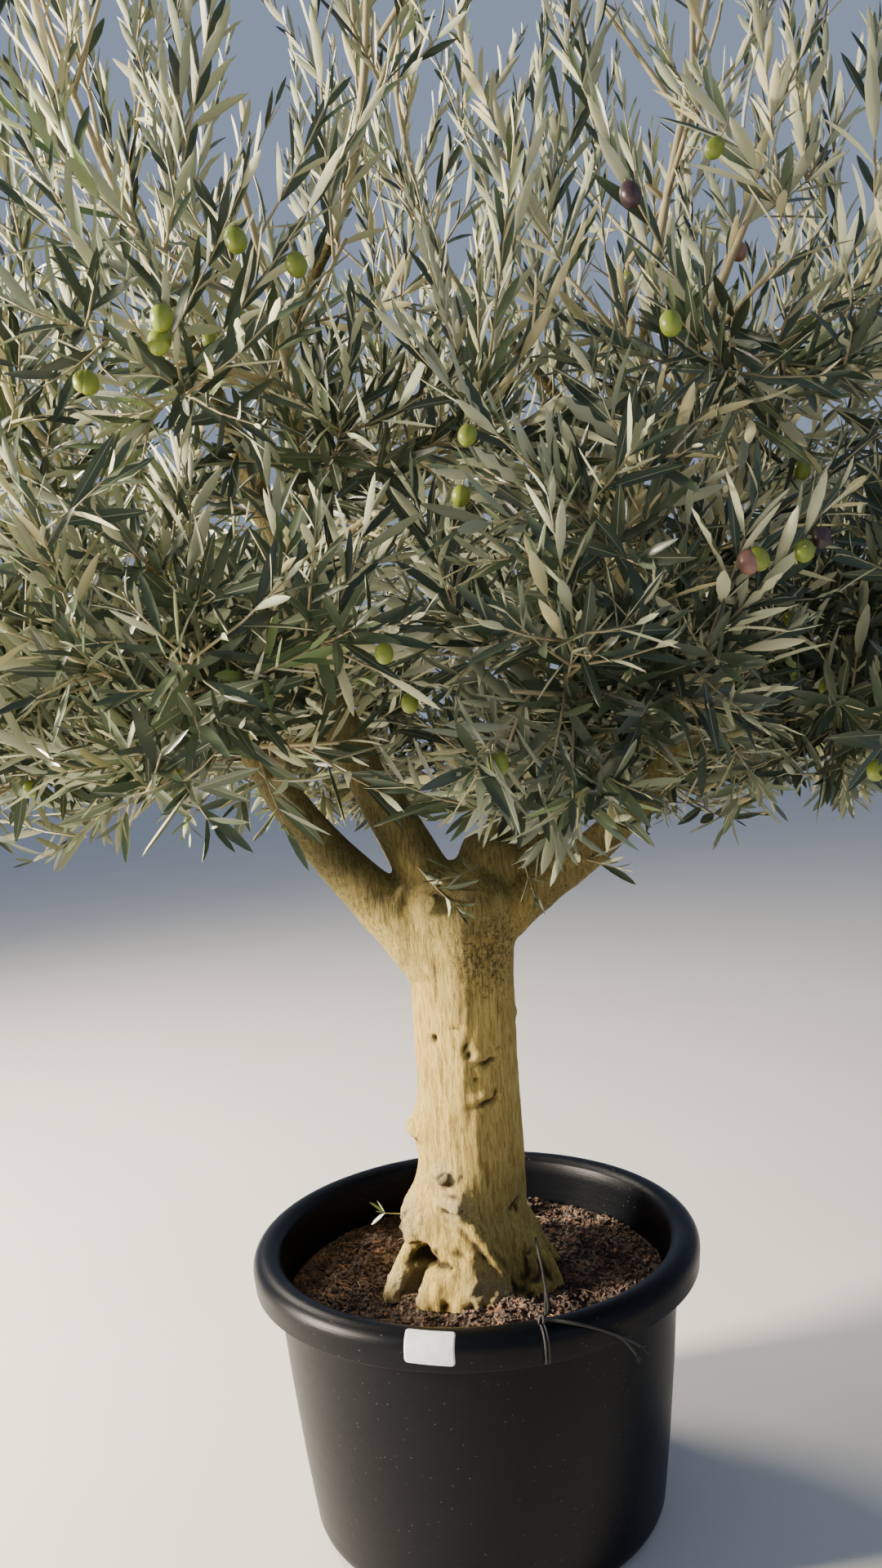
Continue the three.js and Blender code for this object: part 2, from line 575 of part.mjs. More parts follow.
// The twigs and sprays of one mass, by a seeded rule: of a few tries each goes where there is most
// room, and a try that would leave the mass's space or touch a limb is passed over.
function growMass(mass, masses, feeder, paths) {
  const random = seededRandom(mass.seed);
  const between = (low, high) => mix(low, high, random());
  const stem = stemOf(mass, masses, feeder.at(-1));
  const others = paths.filter((path) => path !== feeder);
  const twigs = [];
  const sprays = [];
  const roomAt = (p) => sprays.reduce((least, s) => Math.min(least, s.middle.distanceTo(p)), CROWN.radius);
  const clears = (from, to, girth) => clearOf(others, from, to, girth) && clearOf([feeder], from, to, 0);
  const apart = (from, to) => sprays.every((s) => stretchDistance(s.free, s.tip, from, to) > SPRAY_APART);
  const misses = (twig, own, from, to) =>
    stretchDistance(twig.root, twig.tip, from, to) > (twig === own ? TWIG_CLEARANCE : SPRAY_APART);

  const tryTwig = (step) => {
    const at = mix(TWIG_FIRST, 1, (step + random()) / TWIGS);
    const angle = mix(...TWIG_ANGLES, at) * DEG * between(...TWIG_TURN);
    const round = between(0, 2 * Math.PI);
    const reach = between(...TWIG_REACH);
    const { point: root, along } = stem.at(at);
    const direction = turnedFrom(along, angle, round, TWIG_LIFT * mass.lift);
    const length = Math.min(TWIG_LENGTHS[1], reach * roomAlong(mass, masses, root, direction));
    const tip = root.clone().addScaledVector(direction, length);
    const free = root.clone().addScaledVector(direction, ROOT_FREE);
    if (length < TWIG_LENGTHS[0] || !clears(free, tip, TWIG_RADIUS) || !apart(free, tip)) return null;
    return { root, tip, direction, length, room: roomAt(tip) };
  };

  const trySpray = (own, root, along, angle) => {
    const full = mass.spray * between(...SPRAY_STRETCH);
    const round = between(0, 2 * Math.PI);
    const tilt = angle * DEG * between(...SPRAY_TURN);
    const direction = turnedFrom(along, tilt, round, mass.lift * between(...SPRAY_RAISE));
    const length = Math.min(full, between(...SPRAY_REACH) * roomAlong(mass, masses, root, direction));
    const tip = root.clone().addScaledVector(direction, length);
    const free = root.clone().addScaledVector(direction, ROOT_FREE);
    const width = SPRAY_WIDTH * Math.sqrt(length / full);
    const across = squareTo(direction)[0].multiplyScalar(width / 2);
    const widest = root.clone().lerp(tip, SPRAY_WIDEST);
    const edges = [widest.clone().add(across), widest.clone().sub(across)];
    if (length < SPRAY_LEAST * full || !edges.every((p) => isInside(mass, masses, p))) return null;
    if (!clears(free, tip, width / 2) || !apart(free, tip)) return null;
    if (!twigs.every((twig) => misses(twig, own, free, tip))) return null;
    const middle = root.clone().lerp(tip, 0.5);
    const room = roomAt(middle) + LENGTH_WORTH * length;
    return { root, free, tip, middle, widest, direction, edges, room };
  };

  const roomiest = (attempt) => {
    const found = Array.from({ length: TRIES }, attempt).filter(Boolean);
    return found.reduce((best, one) => (best && best.room >= one.room ? best : one), null);
  };
  const addSpray = (own, root, along, angle) => {
    const spray = roomiest(() => trySpray(own, root, along, angle));
    if (spray && sprays.length < SPRAYS_MOST) sprays.push(spray);
  };

  for (let step = 0; step < TWIGS; step++) {
    const twig = roomiest(() => tryTwig(step));
    if (!twig) continue;
    twigs.push(twig);
    const count = Math.floor(twig.length / SPRAY_SPACING) + 1;
    for (let i = 0; i < count; i++) {
      const share = (i + SPRAY_INSET) / (count - 1 + 2 * SPRAY_INSET);
      const root = twig.root.clone().lerp(twig.tip, share);
      addSpray(twig, root, twig.direction, SPRAY_ANGLE);
    }
    addSpray(twig, twig.tip, twig.direction, SPRAY_END_ANGLE);
  }
  const top = stem.at(STEM_END);
  addSpray(null, top.point, top.along, SPRAY_END_ANGLE);
  return { stem, twigs, sprays };
}

// A spray's blade: a long diamond with a keel along its middle, its root in the twig.
function sprayBlade({ root, tip, widest, direction, edges }) {
  const keel = edges[0].clone().sub(edges[1]).cross(direction).setLength(SPRAY_KEEL);
  const corners = [
    root.clone().addScaledVector(direction, -ROOT_DEPTH),
    edges[0],
    tip,
    edges[1],
    widest.clone().add(keel),
  ];
  const blade = new THREE.BufferGeometry().setFromPoints(corners);
  return blade.setIndex([0, 2, 1, 0, 3, 2, 0, 1, 4, 1, 2, 4, 2, 3, 4, 3, 0, 4]);
}

// An olive hung close under the root of a spray.
function oliveUnder({ x, y, z }) {
  const fruit = new THREE.IcosahedronGeometry(OLIVE.width / 2, 0);
  fruit.scale(1, 1, OLIVE.length / OLIVE.width);
  return fruit.translate(x, y, z - OLIVE.length / 2 + OLIVE.sink);
}

function massSolid({ stem, twigs, sprays }, hasOlive) {
  const solids = [solidOf(skinOver(ringsRound(stem.path, STEM_SIDES)))];
  for (const { root, tip, direction: along } of twigs) {
    const end = tip.clone().addScaledVector(along, TWIG_TIP_RADIUS);
    const path = [
      { point: root, along, radius: TWIG_RADIUS },
      { point: end, along, radius: TWIG_TIP_RADIUS },
    ];
    solids.push(solidOf(skinOver(ringsRound(path, TWIG_SIDES))));
  }
  for (const spray of sprays) solids.push(solidOf(sprayBlade(spray)));
  if (hasOlive) solids.push(solidOf(oliveUnder(sprays[sprays.length >> 1].root)));
  return wasm.Manifold.union(solids);
}

function stubPath() {
  const along = heading(STUB.bearing, STUB.rise);
  const foot = vec(trunkMiddle(FORK_HEIGHT), 0, FORK_HEIGHT);
  const top = foot.clone().addScaledVector(along, STUB.length);
  return [foot, top].map((point) => ({ point, along, radius: STUB.radius }));
}

const tree = new THREE.Group();

function add(name, geometry, look) {
  const mesh = new THREE.Mesh(geometry, new THREE.MeshStandardMaterial(look));
  mesh.name = name;
  tree.add(mesh);
}

add("pot", turned(containerProfile()), BLACK_PLASTIC);
add("soil", turned(soilProfile()), POTTING_SOIL);

const masses = massPlan();
const massNamed = (name) => masses.find((mass) => mass.name === name);
const feeders = {};
const trunkParts = [solidOf(trunkColumn()), solidOf(skinOver(ringsRound(stubPath(), BOUGH_SIDES)))];
for (const [name, sizes] of Object.entries(BOUGHS)) {
  const bough = growBough(sizes, massNamed(BOUGH_FEEDS[name]), masses);
  feeders[BOUGH_FEEDS[name]] = bough.path;
  trunkParts.push(solidOf(skinOver(bough.rings.slice(0, COLLAR_STEPS + 1))));
  add("bough_" + name, skinOver(bough.rings.slice(COLLAR_STEPS + 1)), BOUGH_BARK);

  const clearance = solidOf(skinOver(ringsRound(bough.path, BOUGH_SIDES, GAP)));
  for (const [feeds, at] of Object.entries(LIMBS[name])) {
    const path = limbPath(bough, at, massNamed(feeds), masses);
    feeders[feeds] = path;
    const limb = solidOf(skinOver(ringsRound(path, LIMB_SIDES)));
    add("limb_" + feeds, geometryOf(limb.subtract(clearance)), BOUGH_BARK);
  }
}
add("trunk", geometryOf(wasm.Manifold.union(trunkParts)), BARK);

const head = [HEAD_LOW, TRUNK_TOP].map((z) => ({ point: vec(TRUNK_LEAN, 0, z), radius: HEAD_RADIUS }));
const paths = [...Object.values(feeders), head];
for (const mass of masses) {
  const grown = growMass(mass, masses, feeders[mass.name], paths);
  const solid = massSolid(grown, OLIVE_MASSES.includes(mass.name));
  add("foliage_" + mass.name, geometryOf(solid), FOLIAGE);
}

export default tree;
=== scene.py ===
# %% [markdown]
# # A potted olive tree
#
# The real thing is an olive that was grown in a field, cut back hard and lifted into a round
# nursery container: a stout straw-coloured trunk, boughs that leave its head like the ribs of a
# vase, and a crown of narrow grey-green leaves that was left to grow out for a few years.
#
# We dress it piece by piece: the view and the light first, then the container and its soil, the
# wood, and at last the twigs, leaves and fruit. The frame holds the plain solids of the same
# tree, and every piece here stands where its solid stands.

import math

import bpy
import numpy as np
from mathutils import Matrix, Vector, noise
from mathutils.bvhtree import BVHTree


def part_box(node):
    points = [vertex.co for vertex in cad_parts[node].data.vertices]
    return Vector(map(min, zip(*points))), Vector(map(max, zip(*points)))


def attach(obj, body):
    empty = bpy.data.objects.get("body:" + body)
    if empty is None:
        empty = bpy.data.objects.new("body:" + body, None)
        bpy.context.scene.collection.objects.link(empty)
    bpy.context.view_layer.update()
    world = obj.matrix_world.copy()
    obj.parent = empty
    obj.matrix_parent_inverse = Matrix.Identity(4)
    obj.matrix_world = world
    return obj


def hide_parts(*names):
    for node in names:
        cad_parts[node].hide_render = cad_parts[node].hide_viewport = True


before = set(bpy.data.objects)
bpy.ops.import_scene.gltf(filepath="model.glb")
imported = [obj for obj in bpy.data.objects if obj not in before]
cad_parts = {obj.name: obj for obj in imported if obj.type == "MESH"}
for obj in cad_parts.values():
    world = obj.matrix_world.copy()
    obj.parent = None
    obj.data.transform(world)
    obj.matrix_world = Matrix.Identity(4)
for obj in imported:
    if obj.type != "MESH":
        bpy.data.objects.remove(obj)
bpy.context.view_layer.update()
MM = 0.001
BODY = "root"

# %% [markdown]
# ## The view
#
# A picture of something tall and round is hard to match by eye, so the camera is worked out: the
# ellipse of the container's rim fixes how far away and how high the eye is, and the trunk fixes
# how far the picture is tilted. The eye is 1.2 m high and 1.85 m from the middle of the trunk,
# which is so close that the crown runs out of the picture on three sides.

# %% The camera
PHOTO_WIDTH = 1080
PHOTO_HEIGHT = 1920
FOCAL_LENGTH_PIXELS = 1444
SENSOR_MM = 36
EYE = Vector((-0.008, -1.845, 1.213))
PITCH = math.radians(2.32)
ROLL = math.radians(3.7)

ahead = Vector((0, math.cos(PITCH), -math.sin(PITCH)))
level = Vector((1, 0, 0))
rising = Vector((0, math.sin(PITCH), math.cos(PITCH)))
picture_right = level * math.cos(ROLL) - rising * math.sin(ROLL)
picture_down = -level * math.sin(ROLL) - rising * math.cos(ROLL)


def line_of_sight(across, down):
    """The direction in which a pixel of the 1080 x 1920 picture looks."""
    right = (across - PHOTO_WIDTH / 2) / FOCAL_LENGTH_PIXELS
    below = (down - PHOTO_HEIGHT / 2) / FOCAL_LENGTH_PIXELS
    return (ahead + picture_right * right + picture_down * below).normalized()


camera_data = bpy.data.cameras.new("camera")
camera_data.sensor_width = SENSOR_MM
camera_data.lens = FOCAL_LENGTH_PIXELS * SENSOR_MM / PHOTO_HEIGHT
camera = bpy.data.objects.new("camera", camera_data)
turn = Matrix((picture_right, -picture_down, -ahead)).transposed().to_4x4()
camera.matrix_world = Matrix.Translation(EYE) @ turn
bpy.context.scene.collection.objects.link(camera)
bpy.context.scene.camera = camera
print("lens", round(camera_data.lens, 2), "mm")

# %% [markdown]
# ## Colours and nodes
#
# Colours are written as the hex values that a paint program shows. Blender's shaders work with
# linear light, so one function turns each value to linear. A second small function adds a shader
# node together with its settings and links, which keeps a material's recipe on a few lines.


# %% Helpers for materials
def linear(colour):
    """An sRGB hex colour as linear red, green, blue and alpha."""
    channels = [int(colour[i : i + 2], 16) / 255 for i in (1, 3, 5)]
    return [c / 12.92 if c <= 0.04045 else ((c + 0.055) / 1.055) ** 2.4 for c in channels] + [1]


def link(material, source, socket):
    """Links to a socket what feeds it: another socket, or the first output that a node has in use."""
    if isinstance(source, bpy.types.Node):
        source = next(output for output in source.outputs if output.enabled)
    material.node_tree.links.new(source, socket)


def add_node(material, kind, inputs, **settings):
    """Adds a node: inputs are values or the nodes that feed it, stops are those of a ramp."""
    node = material.node_tree.nodes.new("ShaderNode" + kind)
    stops = settings.pop("stops", [])
    for name, value in settings.items():
        setattr(node, name, value)
    for place, (position, colour) in enumerate(stops):
        elements = node.color_ramp.elements
        stop = elements[place] if place < 2 else elements.new(position)
        stop.position = position
        stop.color = linear(colour)
    for name, value in inputs.items():
        if isinstance(value, (bpy.types.Node, bpy.types.NodeSocket)):
            link(material, value, node.inputs[name])
        else:
            node.inputs[name].default_value = value
    return node


def new_material(name, **constants):
    """A material, its surface shader with some constant sockets, and its object coordinates."""
    material = bpy.data.materials.new(name)
    material.use_nodes = True
    shader = material.node_tree.nodes["Principled BSDF"]
    for socket, value in constants.items():
        shader.inputs[socket.replace("_", " ")].default_value = value
    places = add_node(material, "TexCoord", {}).outputs["Object"]
    return material, shader, places


def feed(material, shader, **sockets):
    """Links what has been worked out to the surface shader's own sockets."""
    for socket, source in sockets.items():
        link(material, source, shader.inputs[socket.replace("_", " ")])


def scale_of(size_mm):
    """The scale of a texture whose pattern is this many millimetres across."""
    return 1 / (size_mm * MM)


print("white paper is", [round(c, 3) for c in linear("#f2f2ee")])

# %% [markdown]
# ## How meshes are made here
#
# Most pieces of this tree are rings of points joined by faces: a turned container, a limb, a
# stalk. So one helper makes an object from points and faces, and the others join rings.


# %% Meshes from points and rings
def object_from(name, points, faces, materials, face_materials=None, smooth=True):
    """A new object in the scene, with its mesh in metres."""
    mesh = bpy.data.meshes.new(name)
    mesh.from_pydata([tuple(p) for p in points], [], faces)
    mesh.update()
    if smooth:
        mesh.shade_smooth()
    for material in materials:
        mesh.materials.append(material)
    if face_materials is not None:
        mesh.polygons.foreach_set("material_index", np.asarray(face_materials, np.int32))
    made = bpy.data.objects.new(name, mesh)
    bpy.context.scene.collection.objects.link(made)
    return made


def ring_faces(rings, sides, first=0):
    """The faces between rings of points that follow each other, and a flat face at each end."""
    faces = []
    for ring in range(rings - 1):
        a = first + ring * sides
        for i in range(sides):
            j = (i + 1) % sides
            faces.append((a + i, a + j, a + sides + j, a + sides + i))
    last = first + (rings - 1) * sides
    faces.append(tuple(range(first + sides - 1, first - 1, -1)))
    faces.append(tuple(range(last, last + sides)))
    return faces


def circle(radius, count):
    """Places evenly spread on a circle round the axis."""
    turns = [math.tau * i / count for i in range(count)]
    return [(radius * math.cos(turn), radius * math.sin(turn)) for turn in turns]


def domed_faces(rings, sides, count):
    """The faces between rings of points, closed on the first and on the last point of all."""
    faces = ring_faces(rings, sides, 1)[:-2]
    last = 1 + (rings - 1) * sides
    for i in range(sides):
        j = (i + 1) % sides
        faces += [(0, 1 + j, 1 + i), (last + i, last + j, count - 1)]
    return faces


def turned(name, profile, segments, materials):
    """A turned piece: its profile is a list of radius and height from its axis and back to it."""
    points = [(0, 0, profile[0][1])]
    for radius, height in profile[1:-1]:
        points += [(x, y, height) for x, y in circle(radius, segments)]
    points.append((0, 0, profile[-1][1]))
    return object_from(name, points, domed_faces(len(profile) - 2, segments, len(points)), materials)


def arc(centre, radius, start, stop, steps):
    """Points on an arc of a profile, by angles in degrees from straight outwards."""
    angles = [math.radians(start + (stop - start) * i / steps) for i in range(steps + 1)]
    return [(centre[0] + radius * math.cos(a), centre[1] + radius * math.sin(a)) for a in angles]


print("helpers ready")

# %% [markdown]
# ## The studio
#
# The tree stands on a plain pale floor in soft light. One large warm lamp at the left stands for
# the low sun that models the trunk, and the world and a second lamp fill the shaded side.

# %% The floor, the world and the lamps
FLOOR_SIDE = 60
MOTTLE_MM = 666.67

# Matt paint, rolled on: it takes soft shadows and shows no reflections
floor_paint, floor_shader, floor_places = new_material("pale_matt_floor_paint", Roughness=0.8)
floor_mottle = add_node(
    floor_paint, "TexNoise", {"Vector": floor_places, "Scale": scale_of(MOTTLE_MM), "Detail": 4}
)
floor_tone = add_node(
    floor_paint, "ValToRGB", {"Fac": floor_mottle}, stops=[(0.3, "#c9c7c1"), (0.7, "#cdcbc6")]
)
feed(floor_paint, floor_shader, Base_Color=floor_tone)
half = FLOOR_SIDE / 2
floor_corners = [(-half, -half, 0), (half, -half, 0), (half, half, 0), (-half, half, 0)]
floor = object_from("floor", floor_corners, [(0, 1, 2, 3)], [floor_paint], smooth=False)

WORLD_COLOUR = "#bfd1f3"
WORLD_STRENGTH = 0.5
world = bpy.data.worlds.new("studio")
world.use_nodes = True
world.node_tree.nodes["Background"].inputs["Color"].default_value = linear(WORLD_COLOUR)
world.node_tree.nodes["Background"].inputs["Strength"].default_value = WORLD_STRENGTH
bpy.context.scene.world = world

AIM = Vector((0, 0, 1.2))
LAMPS = {
    "sun_side": {"place": (-4.7, -0.8, 2.1), "size": 0.9, "watts": 1540, "colour": "#fff1da"},
    "fill_side": {"place": (3.4, -3.2, 2.2), "size": 3.0, "watts": 22, "colour": "#dfe8ff"},
    "back_light": {"place": (-2.6, 2.4, 4.0), "size": 1.4, "watts": 300, "colour": "#fff3dd"},
}
for name, lamp in LAMPS.items():
    light = bpy.data.lights.new(name, "AREA")
    light.size = lamp["size"]
    light.energy = lamp["watts"]
    light.color = linear(lamp["colour"])[:3]
    holder = bpy.data.objects.new(name, light)
    holder.location = lamp["place"]
    holder.rotation_euler = (AIM - holder.location).to_track_quat("-Z", "Y").to_euler()
    bpy.context.scene.collection.objects.link(holder)
print("lamps:", ", ".join(LAMPS))

# %% [markdown]
# ## The container
#
# Nursery containers of this size, about 120 litres, are injection moulded in black high-density
# polyethylene. The wall tapers towards the foot so that they stack, and the rim is rolled over
# outwards into a broad lip, by which the container is lifted. Polyethylene is waxy: it stays
# satin, takes fine scratches, and shows dust on whatever looks up.

# %% The polyethylene
SCRATCH_MM = 1.2
DUST_MM = 90
SPECK_APART_MM = 12
PLASTIC_GRAIN_MM = 1.4286

# Black high-density polyethylene, injection moulded: satin and nearly black, so that a lamp shows
# on it as a long soft streak, and dust and splashes show grey
plastic, plastic_shader, places = new_material("moulded_black_polyethylene", IOR=1.52)
plastic_shader.inputs["Specular IOR Level"].default_value = 0.12
stretched = add_node(plastic, "Mapping", {"Vector": places, "Scale": (6, 6, scale_of(SCRATCH_MM))})
scratches = add_node(plastic, "TexNoise", {"Vector": stretched, "Scale": 1, "Detail": 3, "Roughness": 0.7})
dust = add_node(
    plastic, "TexNoise", {"Vector": places, "Scale": scale_of(DUST_MM), "Detail": 8, "Roughness": 0.72}
)
facing = add_node(plastic, "NewGeometry", {})
normal_parts = add_node(plastic, "SeparateXYZ", {"Vector": facing.outputs["Normal"]})
settled = add_node(
    plastic, "MapRange",
    {"Value": normal_parts.outputs["Z"], "From Min": 0.1, "From Max": 1.0, "To Min": 0.45, "To Max": 0.62},
)
dusty = add_node(plastic, "MapRange", {"Value": dust, "From Min": 0.5, "From Max": 0.8, "To Max": settled})
plastic_colour = add_node(
    plastic, "ValToRGB", {"Fac": dusty}, stops=[(0.0, "#05070b"), (0.5, "#0a0c12"), (1.0, "#252628")]
)
plastic_roughness = add_node(plastic, "MapRange", {"Value": scratches, "To Min": 0.26, "To Max": 0.44})
fine_grain = add_node(
    plastic, "TexNoise", {"Vector": places, "Scale": scale_of(PLASTIC_GRAIN_MM), "Detail": 2}
)
grain_and_scratch = add_node(plastic, "Math", {0: scratches, 1: fine_grain}, operation="ADD")
plastic_bump = add_node(
    plastic, "Bump", {"Height": grain_and_scratch, "Strength": 0.35, "Distance": 0.6 * MM}
)
speck_places = add_node(plastic, "TexVoronoi", {"Vector": places, "Scale": scale_of(SPECK_APART_MM)})
speck_share = add_node(
    plastic, "MapRange",
    {"Value": speck_places, "From Min": 0.04, "From Max": 0.09, "To Min": 0.42, "To Max": 0},
)
specked = add_node(
    plastic, "Mix", {"Factor": speck_share, "A": plastic_colour, "B": linear("#7a7872")}, data_type="RGBA"
)
feed(plastic, plastic_shader, Base_Color=specked, Roughness=plastic_roughness, Normal=plastic_bump)

# %% The turned container
pot_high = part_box("pot")[1]
RIM_RADIUS = pot_high.x
POT_HEIGHT = pot_high.z
POT_WALL = 5 * MM
FOOT_RADIUS = 277 * MM
FOOT_ROUND = 30 * MM
WALL_TOP_RADIUS = 314.5 * MM
LIP_RADIUS = 23 * MM
LIP_DROP = 48 * MM
LIP_EDGE_ROUND = 1.6 * MM
POT_BOTTOM = 12 * MM
# The foot is recessed, and the wall swells on its way up: pairs of radius and height
FOOT_RECESS = [(0, 2 * MM), (0.22, 2 * MM), (0.226, 0.0)]
WALL_SWELL = [(FOOT_RADIUS + 0.012, 0.12), (FOOT_RADIUS + 0.025, 0.24)]
WALL_TOP = [(WALL_TOP_RADIUS - 1.5 * MM, 0.36)]
WALL_INSIDE = [(0.297, 0.3)]
POT_SEGMENTS = 160

roll = (RIM_RADIUS - LIP_RADIUS, POT_HEIGHT - LIP_RADIUS)
lip_low = POT_HEIGHT - LIP_DROP
pot_profile = [*FOOT_RECESS, (FOOT_RADIUS - FOOT_ROUND, 0.0)]
pot_profile += arc((FOOT_RADIUS - FOOT_ROUND, FOOT_ROUND), FOOT_ROUND, -80, 0, 6)
pot_profile += [*WALL_SWELL, *WALL_TOP, (WALL_TOP_RADIUS, roll[1])]
pot_profile += arc(roll, LIP_RADIUS - POT_WALL, 110, 0, 8)
pot_profile += [(RIM_RADIUS - POT_WALL - 2 * MM, lip_low + LIP_EDGE_ROUND)]
pot_profile += arc((RIM_RADIUS - 3.6 * MM, lip_low + LIP_EDGE_ROUND), LIP_EDGE_ROUND, -90, 0, 3)
pot_profile += arc(roll, LIP_RADIUS, -6, 150, 16)
inner_top = (WALL_TOP_RADIUS - 1.7 * POT_WALL, roll[1] - 8 * MM)
inner_foot = (FOOT_RADIUS - POT_WALL, FOOT_ROUND + 2 * MM)
pot_profile += [inner_top, *WALL_INSIDE, inner_foot]
pot_profile += [(inner_foot[0] - FOOT_ROUND, POT_BOTTOM), (0, POT_BOTTOM)]
container = turned("container", pot_profile, POT_SEGMENTS, [plastic])
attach(container, BODY)
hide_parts("pot")
print("container:", len(container.data.polygons), "faces, rim", round(2 * RIM_RADIUS, 3), "m across")

# %% [markdown]
# ## The rule of growth
#
# The solids of the frame were grown by a rule, and the finer tree has to grow from the same
# limbs. So the rule is written out again here, in millimetres, with the same sizes and the same
# seeds. The crown is a dome over a bowl, shared out among masses, each of which owns the space
# nearest to its middle. A bough or limb leads to each mass, a stem goes on from it, twigs leave
# the stem, and sprays leave the twigs wherever there is most room.

# %% The tree's sizes
GAP = 0.3
SOIL_TOP = 352
TRUNK_FOOT = SOIL_TOP + GAP
TRUNK_TOP = 1015
TRUNK_RADIUS = 82
TRUNK_LEAN = 7
FLARE = 24
FLARE_HEIGHT = 90
HEAD_SWELL = 16
HEAD_LOW = 840
HEAD_RADIUS = 115
# Burls, root legs and hollows: bearing, height, how far out, and half-widths round and up
BURLS = [
    (192, 604, 17, 24, 22), (198, 468, 38, 32, 30), (252, 512, 10, 22, 20), (268, 432, 15, 36, 32),
    (222, 412, -16, 26, 14), (194, 350, 42, 17, 34), (226, 350, 30, 14, 30), (284, 362, 22, 34, 20),
    (338, 350, 42, 24, 32), (20, 350, 20, 30, 34), (92, 350, 34, 24, 40), (146, 350, 26, 22, 34),
]
FORK_HEIGHT = 880
BOUGH_POINTS = 18
BEND_POINTS = 12
BEND_EASE = 0.35
ELBOW = 0.35
COLLAR = 225
CROTCH_SWELL = 0.75
CROTCH_LENGTH = 100
BOUGH_TAPER = 0.9
COLLAR_STEPS = 3
BOUGH_STEPS = 6
BOUGH_TIP_RADIUS = 11
# Each bough: bearing, drift, rise where it leaves, at its elbow and at its end, length, radius,
# offset, the mass that it feeds, and the limbs that leave it, by the mass and the share of its way
BOUGHS = {
    "left": (186, 28, (46, 54, 62), 480, 37, 28, "middle_4", {"lower_4": 0.58, "lower_5": 0.42}),
    "left_upright": (
        190, -24, (76, 62, 78), 620, 43, 15, "upper_3",
        {"centre": 0.6, "middle_5": 0.42, "upper_2": 0.74, "upper_4": 0.66},
    ),
    "right_upright": (
        3, 40, (56, 50, 82), 600, 35, 30, "upper_0", {"top": 0.7, "upper_5": 0.6, "middle_0": 0.48},
    ),
    "right": (356, -8, (44, 34, 58), 470, 34, 35, "middle_6", {"lower_7": 0.58, "lower_6": 0.44}),
    "back_right": (
        62, -6, (58, 48, 66), 460, 34, 34, "middle_1", {"lower_0": 0.48, "lower_1": 0.6, "upper_1": 0.72},
    ),
    "back_left": (
        126, 8, (58, 48, 66), 470, 36, 34, "middle_3", {"lower_3": 0.5, "lower_2": 0.6, "middle_2": 0.72},
    ),
}
STUB = (12, 68, 178, 50)
LIMB_STEPS = 3
LIMB_TIP_RADIUS = 9
LIMB_SHARE = 0.62
LIMB_MOST_RADIUS = 17
CROWN_MIDDLE = np.array([-25.0, -40.0, 1560.0])
CROWN_RADIUS = 830
DOME = (865, 2.8)
BOWL = (530, 4.5)
# Each ring: count, first bearing, how far out, height, lean of the stems, spray length and lift
RINGS = {
    "lower": (8, 22.5, 545, 1255, 8, 185, 0.05),
    "middle": (7, 0, 520, 1640, 48, 200, 0.45),
    "upper": (6, 30, 440, 2030, 66, 235, 0.9),
}
CENTRES = {"centre": (1590, 80, 200, 0.6), "top": (2060, 85, 240, 1)}
FIRST_SEED = 1000
SEED_STEP = 37
ENTRY_DEPTH = 0.8
ENTRY_SHARE = 0.6
HALVINGS = 24
CELL_MARGIN = 2
LIMB_MARGIN = 3
STEM_REACH = 0.45
TRIES = 8
TWIGS = 7
TWIG_RADIUS = 4.4
TWIG_FIRST = 0.12
TWIG_ANGLES = (82, 30)
TWIG_REACH = (0.4, 0.68)
TWIG_LENGTHS = (45, 280)
TWIG_TURN = (0.8, 1.1)
TWIG_LIFT = 0.35
SPRAY_SPACING = 78
SPRAYS_MOST = 20
SPRAY_ANGLE = 48
SPRAY_END_ANGLE = 14
SPRAY_TURN = (0.7, 1.3)
SPRAY_STRETCH = (0.8, 1.2)
SPRAY_RAISE = (0.4, 1)
SPRAY_REACH = (0.88, 1)
SPRAY_INSET = 0.6
STEM_END = 0.98
LENGTH_WORTH = 0.2
SPRAY_WIDTH = 54
SPRAY_WIDEST = 0.46
SPRAY_LEAST = 0.5
SPRAY_APART = 30
TWIG_CLEARANCE = 8
ROOT_FREE = 15
UP = np.array([0.0, 0.0, 1.0])
DEG = math.pi / 180
WORD = 0xFFFFFFFF
print("masses:", sum(ring[0] for ring in RINGS.values()) + len(CENTRES))


# %% Numbers, directions and lines
def seeded(seed):
    """A repeatable stream of numbers from 0 to 1, the same one that the solids were grown by."""
    state = seed

    def draw():
        nonlocal state
        state = (state + 0x6D2B79F5) & WORD
        t = ((state ^ (state >> 15)) * (1 | state)) & WORD
        t = ((t + (((t ^ (t >> 7)) * (61 | t)) & WORD)) & WORD) ^ t
        return (t ^ (t >> 14)) / (WORD + 1)

    return draw


def mix(a, b, share):
    return a + (b - a) * share


def unit(v):
    return v / np.linalg.norm(v)


def heading(bearing, rise):
    """The direction at a bearing round the tree and a rise above the level, in degrees."""
    out = math.cos(rise * DEG)
    return np.array([out * math.cos(bearing * DEG), out * math.sin(bearing * DEG), math.sin(rise * DEG)])


def square_to(direction):
    """Two directions square to each other and to the given one."""
    spare = UP if abs(direction[2]) < 0.9 else np.array([1.0, 0, 0])
    side = unit(np.cross(spare, direction))
    return side, unit(np.cross(direction, side))


def turned_from(direction, angle, round_it, lift):
    """A turn away from a direction by an angle, at a bearing round it, lifted upwards."""
    side, other = square_to(direction)
    aside = side * math.cos(round_it) + other * math.sin(round_it)
    return unit(direction * math.cos(angle) + aside * math.sin(angle) + UP * lift)


def bend(start, control, end):
    """Points of a bend between two points that sets out towards a third."""
    shares = [i / BEND_POINTS for i in range(BEND_POINTS + 1)]
    return [mix(mix(start, control, t), mix(control, end, t), t) for t in shares]


